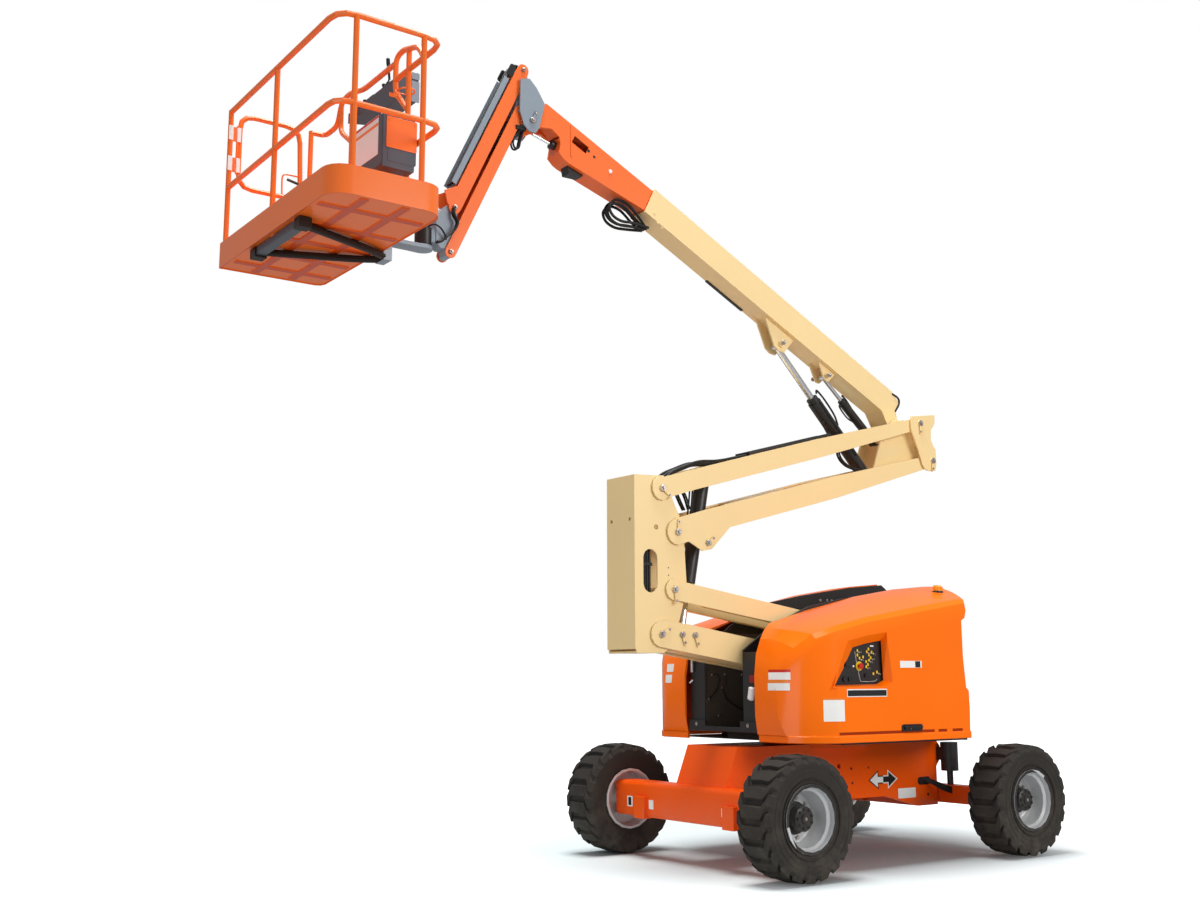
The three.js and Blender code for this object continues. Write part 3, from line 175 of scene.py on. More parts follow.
# ------------------------------------------------------------------ chassis
# A welded box of steel plate with the fixed axle's box through its front end and a rocking
# steering beam under its back end, all sprayed with one thick gloss orange enamel.
def sprayed_film():
    """Enamel sprayed on steel: the tone drifts by a few per cent over a metre (slow noise), dust
    greys what lies low (a ramp of height times a cloud), and the film's skin is faintly dimpled
    (fine noise as bump)."""
    group = bpy.data.node_groups.new("sprayed_film", "ShaderNodeTree")
    face = group.interface
    for label, kind, value in [("Paint", "Color", (0.8, 0.2, 0.02, 1.0)), ("Gloss Roughness", "Float", 0.3),
            ("Drift", "Float", 0.05), ("Dust", "Float", 0.3), ("Dust Height", "Float", 0.7),
            ("Dimple", "Float", 0.12), ("Dimple Scale", "Float", 260.0)]:
        face.new_socket(label, in_out="INPUT", socket_type="NodeSocket" + kind).default_value = value
    for label, kind in (("Color", "Color"), ("Roughness", "Float"), ("Normal", "Vector")):
        face.new_socket(label, in_out="OUTPUT", socket_type="NodeSocket" + kind)
    given, made = group.nodes.new("NodeGroupInput").outputs, group.nodes.new("NodeGroupOutput")
    place = shader_node(group, "TexCoord").outputs["Object"]
    slow = shader_node(group, "TexNoise", {"Scale": 1.7, "Detail": 5.0, "Vector": place})
    centred = result_of(group, "SUBTRACT", slow.outputs["Fac"], 0.5)
    swing = result_of(group, "MULTIPLY_ADD", centred, result_of(group, "MULTIPLY", given["Drift"], 4.0), 1.0)
    tone = shader_node(group, "HueSaturation", {"Color": given["Paint"], "Value": swing})
    cloud = shader_node(group, "TexNoise", {"Scale": 9.0, "Detail": 6.0, "Roughness": 0.65, "Vector": place})
    height = shader_node(group, "SeparateXYZ", {0: place}).outputs["Z"]
    low = shader_node(group, "MapRange", {"Value": height, "From Min": 0.0, "From Max": given["Dust Height"],
        "To Min": 1.0, "To Max": 0.0}, interpolation_type="SMOOTHSTEP")
    specks = shader_node(group, "MapRange", {"Value": cloud.outputs["Fac"], "From Min": 0.38, "From Max": 0.72})
    amount = result_of(group, "MULTIPLY", low.outputs["Result"], specks.outputs["Result"])
    share = result_of(group, "MULTIPLY", amount, given["Dust"], use_clamp=True)
    dusty = shader_node(group, "Mix", {"A": tone.outputs["Color"], "B": (0.36, 0.29, 0.21, 1.0), "Factor": share},
        data_type="RGBA")
    wander = result_of(group, "MULTIPLY_ADD", centred, 0.12, given["Gloss Roughness"])
    rough = result_of(group, "MULTIPLY_ADD", share, 0.5, wander)
    dimples = shader_node(group, "TexNoise", {"Detail": 1.0, "Vector": place, "Scale": given["Dimple Scale"]})
    bump = shader_node(group, "Bump", {"Distance": 0.0006, "Strength": given["Dimple"],
        "Height": dimples.outputs["Fac"]})
    feed(group, made, {"Color": dusty.outputs["Result"], "Roughness": rough, "Normal": bump.outputs["Normal"]})
    return group


film = sprayed_film()


def enamel(name, paint, roughness=0.32, coat=0.35, metallic=0.0, specular=0.3, **worn):
    """A sprayed finish: Principled BSDF, with the sprayed film's colour, roughness and skin."""
    made = bpy.data.materials.new(name)
    made.use_nodes = True
    tree = made.node_tree
    film_inputs = {label.replace("_", " "): value for label, value in worn.items()}
    coating = shader_node(tree, "Group", node_tree=film)
    feed(tree, coating, {"Paint": (*paint, 1.0), "Gloss Roughness": roughness, **film_inputs})
    feed(tree, tree.nodes["Principled BSDF"], {"Metallic": metallic, "Coat Weight": coat, "Coat Roughness": 0.1,
        "Specular IOR Level": specular, **{label: coating.outputs[source]
            for label, source in (("Base Color", "Color"), ("Roughness", "Roughness"), ("Normal", "Normal"))}})
    return made


def dressed(name, mesh, material, body, angle, edge, **rounding):
    """An object of the mesh on a body, smooth but for edges sharper than the angle, and with its
    edges rounded to the given radius."""
    mesh.polygons.foreach_set("use_smooth", np.ones(len(mesh.polygons), bool))
    mesh.set_sharp_from_angle(angle=math.radians(angle))
    mesh.materials.append(material)
    made = bpy.data.objects.new(name, mesh)
    scene.collection.objects.link(made)
    if edge:
        bevel = made.modifiers.new("eased_edges", "BEVEL")
        for setting, value in dict(width=edge, limit_method="ANGLE", harden_normals=True, **rounding).items():
            setattr(bevel, setting, value)
    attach(made, body)
    return made


def eased(node, material, edge=0.003, steps=2, angle=30.0, joined=True):
    """The CAD solid with its welds and folds eased: its own faces merged, flat ones joined, and
    every edge sharper than the angle rounded to the given radius."""
    source = nodes[node]
    shell = bmesh.new()
    shell.from_mesh(source.data)
    bmesh.ops.remove_doubles(shell, verts=shell.verts, dist=2e-5)
    if joined:
        bmesh.ops.dissolve_limit(shell, angle_limit=math.radians(0.6), verts=shell.verts, edges=shell.edges)
    mesh = bpy.data.meshes.new(node + "_eased")
    shell.to_mesh(mesh)
    shell.free()
    for stale in ("custom_normal", "sharp_face", "sharp_edge"):
        if stale in mesh.attributes:
            mesh.attributes.remove(mesh.attributes[stale])
    mesh.materials.clear()
    made = dressed(node + "_eased", mesh, material, source["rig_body"], angle, edge, segments=steps,
        angle_limit=math.radians(angle), miter_outer="MITER_ARC")
    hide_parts(node)
    return made


def off(y):
    """A step across the machine."""
    return np.array((0.0, y, 0.0))


def bands(rows, around, ring=False):
    """Faces between each row of corners and the next, and from a ring's last row to its first."""
    return [[i * around + k, i * around + (k + 1) % around, (i + 1) % rows * around + (k + 1) % around,
        (i + 1) % rows * around + k] for i in range(rows if ring else rows - 1) for k in range(around)]


def caps(rows, around):
    """Faces that close the first and the last row."""
    last = (rows - 1) * around
    return [list(range(around))[::-1], list(range(last, last + around))]


def turned(profile, foot, way, sides=16, turn=0.0, ring=False):
    """A turned piece: corner k of row i lies at radius r_i and angle 2 pi k / sides round the axis,
    h_i along it. Its two ends close on the axis, or, for a ring, the last row joins the first."""
    way = np.asarray(way, float) / np.linalg.norm(way)
    helper = np.array((0.0, 0.0, 1.0)) if abs(way[2]) < 0.9 else np.array((1.0, 0.0, 0.0))
    first = np.cross(helper, way)
    first /= np.linalg.norm(first)
    second = np.cross(way, first)
    angle = 2 * math.pi * np.arange(sides) / sides + turn
    spokes = np.cos(angle)[:, None] * first + np.sin(angle)[:, None] * second
    radius, height = np.asarray(profile, float).T
    rows = np.asarray(foot) + height[:, None, None] * way + radius[:, None, None] * spokes
    quads = bands(len(radius), sides, ring)
    points = rows.reshape(-1, 3)
    if not ring:
        ends = np.asarray(foot) + height[[0, -1], None] * way
        base, top = len(points), len(points) + 1
        last = (len(radius) - 1) * sides
        points = np.vstack((points, ends))
        quads += [[base, (k + 1) % sides, k] for k in range(sides)]
        quads += [[top, last + k, last + (k + 1) % sides] for k in range(sides)]
    return points, quads


def slab(outline, corner, across, up, thick):
    """A flat piece: its outline lies in the plane of two directions, and it is as thick as given
    along their cross product."""
    outline = np.asarray(outline, float)
    across, up = np.asarray(across, float), np.asarray(up, float)
    rise = np.cross(across, up)
    rise /= np.linalg.norm(rise)
    low = np.asarray(corner) + outline[:, :1] * across + outline[:, 1:] * up
    count = 2, len(outline)
    return np.vstack((low, low + thick * rise)), caps(*count) + bands(*count)


def block(low, high):
    """A box between two corners."""
    low, high = np.asarray(low, float), np.asarray(high, float)
    size = high - low
    return slab([(0, 0), (size[0], 0), (size[0], size[1]), (0, size[1])], low, EAST, (0, 1, 0), size[2])


def hose(points, radius, sides=8, steps=6):
    """A hose or a bent pipe: its middle line is the Catmull-Rom curve through the points, and each
    ring stands square to it, carried on from the one before without twist."""
    points = np.asarray(points, float)
    points = np.vstack((2 * points[0] - points[1], points, 2 * points[-1] - points[-2]))
    t = np.arange(steps)[:, None] / steps
    line = [0.5 * (2 * b + (c - a) * t + (2 * a - 5 * b + 4 * c - d) * t ** 2 + (3 * b - a - 3 * c + d) * t ** 3)
        for a, b, c, d in zip(points, points[1:], points[2:], points[3:])]
    line = np.vstack(line + [points[-2:-1]])
    way = np.gradient(line, axis=0)
    way /= np.linalg.norm(way, axis=1)[:, None]
    side = np.cross(way[0], (0.31, 0.47, 0.83))
    angle = 2 * math.pi * np.arange(sides) / sides
    rings = []
    for here, along in zip(line, way):
        side = side - along * np.dot(side, along)
        side /= np.linalg.norm(side)
        rings.append(here + radius * (np.cos(angle)[:, None] * side + np.sin(angle)[:, None] * np.cross(along,
            side)))
    return np.vstack(rings), bands(len(rings), sides) + caps(len(rings), sides)


def fitted(name, surfaces, material, body, angle=35.0, edge=0.0):
    """One object of closed surfaces, smooth but for edges sharper than the angle, on a body."""
    corners, faces = [], []
    for points, polygons in surfaces:
        start = sum(len(p) for p in corners)
        corners.append(points)
        faces += [[start + k for k in polygon] for polygon in polygons]
    mesh = bpy.data.meshes.new(name)
    mesh.from_pydata(np.vstack(corners).tolist(), [], faces)
    made = dressed(name, mesh, material, body, angle, edge, segments=2)
    return made


def round_box(width, height, radius, steps=4):
    """Corners of a rectangle with round corners about its middle, counter-clockwise."""
    turns = np.radians(np.arange(0, 360, 90)[:, None] + np.linspace(0, 90, steps + 1))
    turns = turns.ravel()
    across = (width / 2 - radius) * np.sign(np.cos(turns.reshape(4, -1).mean(1)))
    up = (height / 2 - radius) * np.sign(np.sin(turns.reshape(4, -1).mean(1)))
    return np.stack((np.repeat(across, steps + 1) + radius * np.cos(turns),
        np.repeat(up, steps + 1) + radius * np.sin(turns)), -1)


def plate(width, height, radius, middle, thick, across=EAST):
    """An upright plate with round corners, its back at the given middle."""
    return slab(round_box(width, height, radius), middle, across, UP, thick)


def bolts(places, way, size=0.012, high=0.009):
    """Hexagon heads on washers, one at each place, standing along the given direction."""
    made = []
    for n, place in enumerate(places):
        made.append(turned([(size * 1.35, -0.001), (size * 1.35, 0.0025)], place, way, 14))
        made.append(turned([(size, 0.002), (size, high * 0.8), (size * 0.8, high)], place, way, 6, n * 0.7))
    return made


PLAIN = dict(Dust=0.0, Drift=0.02, Dimple=0.0)
orange_paint = enamel("orange_paint", (0.92, 0.098, 0.001), 0.34, 0.1, specular=0.18, Dust=0.3, Dust_Height=0.62)
black_paint = enamel("black_paint", (0.02, 0.018, 0.018), 0.4, 0.1, Dust=0.12, Dust_Height=0.9)
rod_chrome = enamel("rod_chrome", (0.78, 0.79, 0.8), 0.14, 0.0, 1.0, Dust=0.0, Drift=0.02, Dimple=0.02)
bright_zinc = enamel("bright_zinc", (0.44, 0.4, 0.38), 0.34, 0.0, 0.9, Dust=0.0, Dimple=0.1)
hose_rubber = enamel("hose_rubber", (0.012, 0.012, 0.013), 0.52, 0.0, Dust=0.15, Dust_Height=0.9)
plate_white = enamel("plate_white", (0.83, 0.83, 0.82), 0.35, 0.2, **PLAIN)
plate_black = enamel("plate_black", (0.012, 0.012, 0.013), 0.35, 0.2, Dust=0.0, Drift=0.0, Dimple=0.0)
for part in ("chassis_frame", "steer_axle_beam"):
    eased(part, orange_paint, 0.004)
for part in ("swing_bearing", "oscillation_cylinder_left", "oscillation_cylinder_right", "steer_knuckle_left",
        "steer_knuckle_right"):
    eased(part, black_paint, 0.002)

flank = -0.2855
# Painted shade: black discs over the openings in the frame's side stand for the dark inside each opening.
fitted("frame_hole_painted_shade", [plate(wide, high, round_, (x, flank - 0.0006, z), 0.001)
    for x, z, wide, high, round_ in (
        # middle of each opening in the frame's side, its width, height and corner radius
        (1.6335, 0.657, 0.02, 0.02, 0.0099), (1.6405, 0.548, 0.018, 0.018, 0.0089),
        (1.8245, 0.658, 0.016, 0.016, 0.0079), (2.462, 0.53, 0.15, 0.062, 0.028),
        (2.505, 0.421, 0.022, 0.022, 0.0109))], plate_black, "chassis")
fitted("steering_hoses", [hose([(2.43, flank + 0.03, 0.535 + 0.012 * n), (2.5, flank - 0.035, 0.515 + 0.01 * n),
    (2.575, flank - 0.1, 0.462 + 0.018 * n), (2.66, flank - 0.14, 0.432 + 0.016 * n),
    (2.73, flank - 0.1, 0.44 + 0.01 * n), (2.8, -0.27, 0.5)], 0.0095) for n in range(3)], hose_rubber, "chassis")
# The sign for the way the wheels are driven: two arrows on one bar, one white and one black.
arrow = [(0.0, 0.022), (0.062, 0.022), (0.062, 0.058), (0.148, 0.0), (0.062, -0.058), (0.062, -0.022),
    (0.0, -0.022)]
grown = [(-0.002, 0.031), (0.053, 0.031), (0.053, 0.074), (0.165, 0.0), (0.053, -0.074), (0.053, -0.031),
    (-0.002, -0.031)]
for name, shape, way, rise, skin in (("drive_arrow_edge_black", grown, -1, 0.001, plate_black),
        ("drive_arrow_edge_white", grown, 1, 0.001, plate_white), ("drive_arrow_white", arrow, -1, 0.0018,
            plate_white), ("drive_arrow_black", arrow, 1, 0.0018, plate_black),):
    outline = [(way * u, v) for u, v in shape][::-way]
    fitted(name, [slab(outline, (1.985, flank + 0.0002, 0.56), EAST, UP, rise)], skin, "chassis")
fitted("frame_plates", [plate(0.205, 0.078, 0.008, (2.256, flank + 0.0002, 0.443), 0.0012)]
    + [plate(wide, high, 0.005, (0.2473, y, z), 0.0012, NEAR) for y, z, wide, high in ((0.7325, 0.416, 0.068, 0.08),
        (0.464, 0.408, 0.056, 0.068), (-0.369, 0.412, 0.03, 0.062))], plate_white, "chassis")
fitted("frame_sign_middle", [plate(0.036, 0.06, 0.006, (0.2463, 0.7325, 0.416), 0.0012, NEAR)], plate_black,
    "chassis")

# ------------------------------------------------------------------ wheels
# Foam-filled traction tyres: black rubber gone a little brown, moulded in one with its lugs. Each
# sits on a welded steel rim, silver, with the black planetary hub through its disc.
tyre_rubber = enamel("tyre_rubber", (0.026, 0.0225, 0.0195), 0.78, 0.0, specular=0.25, Dust=0.14, Dust_Height=0.9,
    Dimple=0.45, Dimple_Scale=420.0)


def barred(mesh, centre, hand, half, pitches=20):
    """The tread's lugs laid as bars: each ring of the tread turns about the axle by so many lug
    pitches that a bar runs straight across the crown and bends back from halfway to the shoulder."""
    shell = bmesh.new()
    shell.from_mesh(mesh)
    bend = 0.55  # how far out a bar begins to bend back, as a share of the half width
    for cut in (-bend, bend):
        bmesh.ops.bisect_plane(shell, geom=shell.verts[:] + shell.edges[:] + shell.faces[:],
            plane_co=centre + (0.0, cut * half, 0.0), plane_no=(0.0, 1.0, 0.0))
    shell.to_mesh(mesh)
    shell.free()
    points = np.empty(len(mesh.vertices) * 3)
    mesh.vertices.foreach_get("co", points)
    points = points.reshape(-1, 3)
    across = (points[:, 1] - centre[1]) * hand
    shoulder = half - 0.026
    moulded = np.interp(across, (-shoulder, -0.005, 0.005, shoulder), (-0.55, 0.0, 0.5, -0.05))
    wanted = np.interp(np.abs(across), (bend * half, shoulder), (0.25, -0.45))
    turn = (wanted - moulded) * 2 * math.pi / pitches * hand
    x, z = points[:, 0] - centre[0], points[:, 2] - centre[2]
    points[:, 0] = centre[0] + x * np.cos(turn) + z * np.sin(turn)
    points[:, 2] = centre[2] - x * np.sin(turn) + z * np.cos(turn)
    mesh.vertices.foreach_set("co", points.ravel())
    mesh.set_sharp_from_angle(angle=math.radians(24.0))


rim_silver = enamel("rim_silver", (0.6, 0.61, 0.62), 0.33, 0.3, 0.35, Dust=0.1, Dust_Height=1.0)
hub_radius, hub_foot, nuts = 0.109, -0.03, 9
for corner in ("fixed_left", "fixed_right", "steer_left", "steer_right"):
    wheel = "wheel_" + corner
    low, high = (np.array(end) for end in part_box("tyre_" + corner))
    centre = (low + high) / 2
    out = np.array((0.0, -1.0 if centre[1] < 0 else 1.0, 0.0))
    half = (high[1] - low[1]) / 2
    tyre = eased("tyre_" + corner, tyre_rubber, 0.004, 2, 24.0)
    barred(tyre.data, centre, out[1], half)
    fitted("sidewall_ribs_" + corner, [turned([(radius - 0.004, half - 0.016), (radius + 0.004, half - 0.016),
        (radius + 0.0022, half + rise), (radius - 0.0022, half + rise)], centre, out, 60, ring=True)
        for radius, rise in ((0.262, -0.0015), (0.303, 0.0016), (0.34, 0.0012))], tyre_rubber, wheel)
    rim = eased("rim_" + corner, rim_silver, 0.0015, 2, 20.0)
    rim.data.materials.append(black_paint)
    seat = np.array([face.center for face in rim.data.polygons]) - centre
    hub = (np.hypot(seat[:, 0], seat[:, 2]) < hub_radius) & (seat @ out > hub_foot)
    rim.data.polygons.foreach_set("material_index", hub.astype(np.int32))
    around = [2 * math.pi * n / nuts for n in range(nuts)]
    ring_of = lambda radius, height, turn=0.0: [centre + out * height + radius * np.array((math.cos(a + turn), 0.0,
        math.sin(a + turn))) for a in around]
    fitted("wheel_nuts_" + corner, bolts(ring_of(0.132, -0.0225), out, 0.013, 0.017), bright_zinc, wheel)
    fitted("hub_bolts_" + corner, bolts(ring_of(0.063, 0.088, 0.3), out, 0.0085, 0.009), black_paint, wheel)
    fitted("hub_cap_" + corner, [turned([(0.034, 0.086), (0.034, 0.094), (0.029, 0.099), (0.012, 0.099),
        (0.012, 0.094)], centre, out, 28)], black_paint, wheel)
    fitted("hub_plug_" + corner, bolts([centre + out * 0.094], out, 0.01, 0.008), bright_zinc, wheel)
    fitted("hub_flange_" + corner, [turned([(0.101, 0.0), (0.101, 0.012), (0.096, 0.017), (0.08, 0.017),
        (0.08, 0.0)], centre, out, 48, ring=True)], black_paint, wheel)

# ------------------------------------------------------------------ turntable
# A thick steel floor with welded side frames and a cast counterweight, all black but for the
# counterweight. The engine and the tank stand on it under the hoods.
eased("counterweight", orange_paint, 0.006)
for part in ("turntable_base", "side_frame_left", "side_frame_right", "engine_block", "hydraulic_tank",
        "ground_control_panel", "valve_block"):
    eased(part, black_paint, 0.003)
fitted("shelf_bolts", bolts([(0.5712, y, 1.008) for y in (0.3, -0.29)], (-1, 0, 0), 0.011), bright_zinc,
    "turntable")
bulkhead = 0.5915
fitted("bay_canister", [turned([(0.02, 0.0), (0.027, 0.006), (0.027, 0.086), (0.022, 0.092), (0.014, 0.098)],
    (bulkhead - 0.024, -0.352, 1.288), (0.0, 0.2, -1.0), 20), hose([(bulkhead - 0.012, 0.386, 1.318),
        (bulkhead - 0.012, 0.352, 1.338)], 0.006, 10)], plate_white, "turntable")
fitted("bay_strut", [hose([(bulkhead - 0.014, 0.353, 1.4), (bulkhead - 0.014, 0.353, 1.49)], 0.015, 12)],
    bright_zinc, "turntable")
fitted("bay_hoses", [hose([(x, 0.2125, z) for x, z in line], 0.0045, 8) for line in (
    # each line runs from fitting to fitting across the far wall
    ((0.602, 1.481), (0.597, 1.366), (0.596, 1.208)),
    ((0.661, 1.378), (0.705, 1.388), (0.732, 1.353), (0.702, 1.268), (0.628, 1.196)),
    ((0.759, 1.274), (0.806, 1.194), (0.887, 1.144), (0.985, 1.106), (1.052, 1.105)),
    ((0.968, 1.377), (0.964, 1.254)), ((0.794, 1.378), (0.792, 1.292)))], hose_rubber, "turntable")
fitted("bay_fittings", bolts([(x, 0.2165, z) for x, z in ((0.602, 1.484), (0.661, 1.38), (0.628, 1.194),
    (0.759, 1.278), (0.968, 1.38), (0.794, 1.382), (1.001, 1.087), (0.722, 1.068))], NEAR, 0.0065, 0.006),
    bright_zinc, "turntable")

# ------------------------------------------------------------------ hoods
# Two moulded fibreglass hoods in thick orange gelcoat. The left one has a window over the ground
# controls, blank plates, a moulded black latch, and a beacon in amber plastic on a black foot.
hood_gelcoat = enamel("hood_gelcoat", (0.97, 0.165, 0.001), 0.24, 0.16, specular=0.16, Dust=0.0, Drift=0.03,
    Dimple=0.05, Dimple_Scale=60.0)
for part in ("hood_left", "hood_right"):
    eased(part, hood_gelcoat, 0.005, 3, 22.0)
# Painted light: a thin panel on the far wall of the bay is coloured lighter than the black frame it covers, so the
# deep shade there reads brighter.
bay_painted_light = enamel("bay_painted_light", (0.075, 0.06, 0.048), 0.6, 0.0, specular=0.2, Dust=0.0)
fitted("bay_far_wall_painted_light", [slab([(0.6, 0.985), (1.6, 0.985), (1.6, 1.7), (0.86, 1.7), (0.6, 1.54)], (0.0, 0.2225, 0.0),
    EAST, UP, 0.0045)], bay_painted_light, "turntable")
fitted("channel_wall_bolts", bolts([(x, 0.222, 1.99) for x in (1.859, 1.938, 1.991, 2.119)], NEAR, 0.01, 0.008),
    bright_zinc, "turntable")
fitted("bay_red_block", [plate(0.07, 0.055, 0.01, (bulkhead + 0.001, -0.36, 1.3475), 0.03, NEAR)],
    enamel("bay_red", (0.24, 0.014, 0.01), 0.5, 0.0, Dust=0.0), "turntable", edge=0.003)


def on_skin(node, rows, way, thick=0.0014, lift=0.0):
    """Plates bonded to a curved skin: each is a grid of points moved along the given direction on to
    the skin, with its back a little inside it."""
    skin = nodes[node]
    tree = BVHTree.FromPolygons([skin.matrix_world @ corner.co for corner in skin.data.vertices],
        [tuple(face.vertices) for face in skin.data.polygons])
    way = Vector(way).normalized()
    back, sunk = 0.4, 0.004  # how far back a ray starts, and how deep a plate's back lies in the skin
    made = []
    for centre, across, up, wide, high in rows:
        across, up = Vector(across).normalized(), Vector(up).normalized()
        nx, nz = 9, 5
        grid = []
        for j in range(nz):
            for i in range(nx):
                start = Vector(centre) + across * wide * (i / (nx - 1) - 0.5) + up * high * (j / (nz - 1) - 0.5)
                grid.append(np.array(tree.ray_cast(start - way * back, way)[0] or start))
        face = np.array(grid)
        out = -np.array(way)
        points = np.vstack((face + out * (thick + lift), face - out * sunk))
        n = nx * nz
        quads = []
        for j in range(nz - 1):
            for i in range(nx - 1):
                a = j * nx + i
                quads.append([a, a + 1, a + nx + 1, a + nx])
                quads.append([n + a + nx, n + a + nx + 1, n + a + 1, n + a])
        rim = ([i for i in range(nx)] + [j * nx + nx - 1 for j in range(1, nz)]
            + [(nz - 1) * nx + i for i in range(nx - 2, -1, -1)] + [j * nx for j in range(nz - 2, 0, -1)])
        quads += [[n + a, n + b, b, a] for a, b in zip(rim, rim[1:] + rim[:1])]
        made.append((points, quads))
    return made


side, nose = dict(way=(0, 1, 0)), dict(way=(0.682, 0.731, 0))
fitted("hood_plates", on_skin("hood_left", [
    # centre, its two directions, width and height
    ((0.3, -0.93, 1.368), EAST, UP, 0.215, 0.052), ((0.292, -0.93, 1.292), EAST, UP, 0.215, 0.052)], **nose)
    + on_skin("hood_left", [
        ((0.832, -0.93, 1.124), EAST, UP, 0.164, 0.15), ((1.626, -0.93, 1.452), EAST, UP, 0.235, 0.05)],
        **side),
    plate_white, "hood_left")
signal_red = enamel("signal_red", (0.55, 0.018, 0.012), 0.35, 0.2, **PLAIN)
fitted("hood_plate_bands_red", on_skin("hood_left", [((0.301, -0.93, 1.404), EAST, UP, 0.215, 0.02)], **nose),
    signal_red, "hood_left")
band_orange = enamel("band_orange", (0.8, 0.21, 0.02), 0.35, 0.2, **PLAIN)
fitted("hood_plate_bands_orange", on_skin("hood_left", [((0.294, -0.93, 1.329), EAST, UP, 0.215, 0.018)],
    **nose) + on_skin("hood_left", [((0.832, -0.93, 1.205), EAST, UP, 0.164, 0.012)], **side), band_orange,
    "hood_left")
fitted("hood_label_edge", on_skin("hood_left", [((1.15, -0.93, 1.246), EAST, UP, 0.412, 0.056)], **side),
    plate_white, "hood_left")
fitted("hood_plates_dark", on_skin("hood_left", [((1.15, -0.93, 1.245), EAST, UP, 0.4, 0.042),
    ((1.7, -0.93, 1.452), EAST, UP, 0.055, 0.046)], lift=0.001, **side), plate_black, "hood_left")
fitted("far_hood_plates", on_skin("hood_right", [((0.62, y, z), NEAR, UP, 0.09, 0.062)
    for y, z in ((0.6, 1.435), (0.612, 1.35))], way=EAST), plate_white, "hood_right")


def swept(plan, profile):
    """A moulding: its profile (how far out of the plan line, and height) stands at every point of
    the line on the mitre of its two neighbours, and both ends are closed."""
    plan = np.asarray(plan, float)
    run = np.gradient(plan, axis=0)
    out = np.stack((run[:, 1], -run[:, 0]), -1) / np.linalg.norm(run, axis=1)[:, None]
    rows = np.array([[(*(p + o * reach), z) for reach, z in profile] for p, o in zip(plan, out)])
    count = len(plan), len(profile)
    return rows.reshape(-1, 3), bands(*count) + caps(*count)


axis_x, tail = 1.5215, 1.2005
hood_half = 0.94
corner_of_tail = math.atan2(hood_half, math.sqrt(tail ** 2 - hood_half ** 2))
foot_line = [(0.579, -0.408), (0.579, -0.715), (0.6215, -0.79), (0.7215, -0.88), (0.8515, -hood_half),
    (1.4, -hood_half), (1.9, -hood_half)] + [(axis_x + tail * math.cos(angle), -tail * math.sin(angle))
    for angle in np.linspace(corner_of_tail, 0.26, 12)]
lip = [(-0.012, 0.896), (0.004, 0.896), (0.008, 0.9), (0.008, 0.942), (0.003, 0.9485), (-0.012, 0.9485)]
for side_name, hand in (("left", 1.0), ("right", -1.0)):
    line = [(x, y * hand) for x, y in foot_line][::int(hand)]
    fitted("hood_lip_" + side_name, [swept(line, lip)], hood_gelcoat, "hood_" + side_name, 22.0, 0.002)
# Painted shade: dark orange strips inside the grooves above the lips deepen the shadow in each groove.
groove_painted_shade = enamel("groove_painted_shade", (0.3, 0.03, 0.001), 0.45, 0.0, specular=0.1, Dust=0.0, Dimple=0.0)
for side_name, hand in (("left", -1.0), ("right", 1.0)):
    low_y, high_y = sorted((hand * 0.9345, hand * 0.9356))
    fitted("hood_groove_shade_strip_" + side_name, [block((low_x, low_y, 0.9515), (high_x, high_y, 0.9705))
        for low_x, high_x in ((0.86, 1.859), (1.904, 1.999), (2.064, 2.179))], groove_painted_shade, "hood_" + side_name)
latch_y = -0.9405
fitted("hood_latch", [plate(0.225, 0.05, 0.018, (1.61, latch_y + 0.004, 0.989), 0.01),
    plate(0.185, 0.022, 0.01, (1.618, latch_y - 0.006, 0.993), 0.014),
    turned([(0.014, 0.0), (0.014, 0.012), (0.01, 0.015)], (1.535, latch_y - 0.006, 0.991), NEAR, 16)], plate_black,
    "hood_left", edge=0.0015)
fitted("hood_latch_lock", [turned([(0.007, 0.0), (0.007, 0.004), (0.005, 0.005)], (1.583, latch_y - 0.014, 0.985),
    NEAR, 16)], bright_zinc, "hood_left")

beacon_amber = enamel("beacon_amber", (0.95, 0.36, 0.005), 0.12, 0.8, Dust=0.0, Drift=0.03, Dimple=0.0)
beacon = eased("beacon", beacon_amber, 0.002)
beacon.data.materials.append(plate_black)
beacon_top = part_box("beacon")[1][2]
beacon.data.polygons.foreach_set("material_index", np.array([face.center.z < beacon_top - 0.042
    for face in beacon.data.polygons], np.int32))
beacon_x, beacon_y = ((a + b) / 2 for a, b in list(zip(*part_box("beacon")))[:2])
fitted("beacon_ribs", [turned([(0.0385, z), (0.0405, z + 0.002), (0.0405, z + 0.004), (0.0385, z + 0.006)],
    (beacon_x, beacon_y, beacon_top - 0.046), UP, 32, ring=True) for z in (0.01, 0.019, 0.028)], beacon_amber,
    "hood_left")

# Ground controls: a black panel with small yellow signs, a toggle beside every second one, gauges, a
# white line, and a red mushroom stop on a yellow disc.
panel_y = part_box("ground_control_panel")[0][1]
key_yellow = enamel("key_yellow", (0.85, 0.56, 0.01), 0.35, 0.2, **PLAIN)
marks = [(1.138, 1.55), (1.136, 1.518), (1.158, 1.496), (1.195, 1.504), (1.236, 1.543), (1.254, 1.563),
    (1.287, 1.54), (1.258, 1.52), (1.274, 1.5), (1.225, 1.471), (1.256, 1.481), (1.243, 1.45), (1.225, 1.434),
    (1.298, 1.383), (1.336, 1.395)]
signs = [plate(0.015, 0.021, 0.006, (x, panel_y + 0.0002, z), 0.0012) for x, z in marks]
keys = [turned([(0.0075, 0.0), (0.0075, 0.004), (0.0035, 0.006), (0.0045, 0.02), (0.003, 0.022)],
    (x + 0.017, panel_y, z - 0.013), (0, -1, 0.15 * (-1) ** n), 10) for n, (x, z) in enumerate(marks[::2])]
fitted("ground_toggles", keys, bright_zinc, "turntable")
fitted("ground_signs", signs, key_yellow, "turntable")
stop = (1.15, panel_y, 1.438)
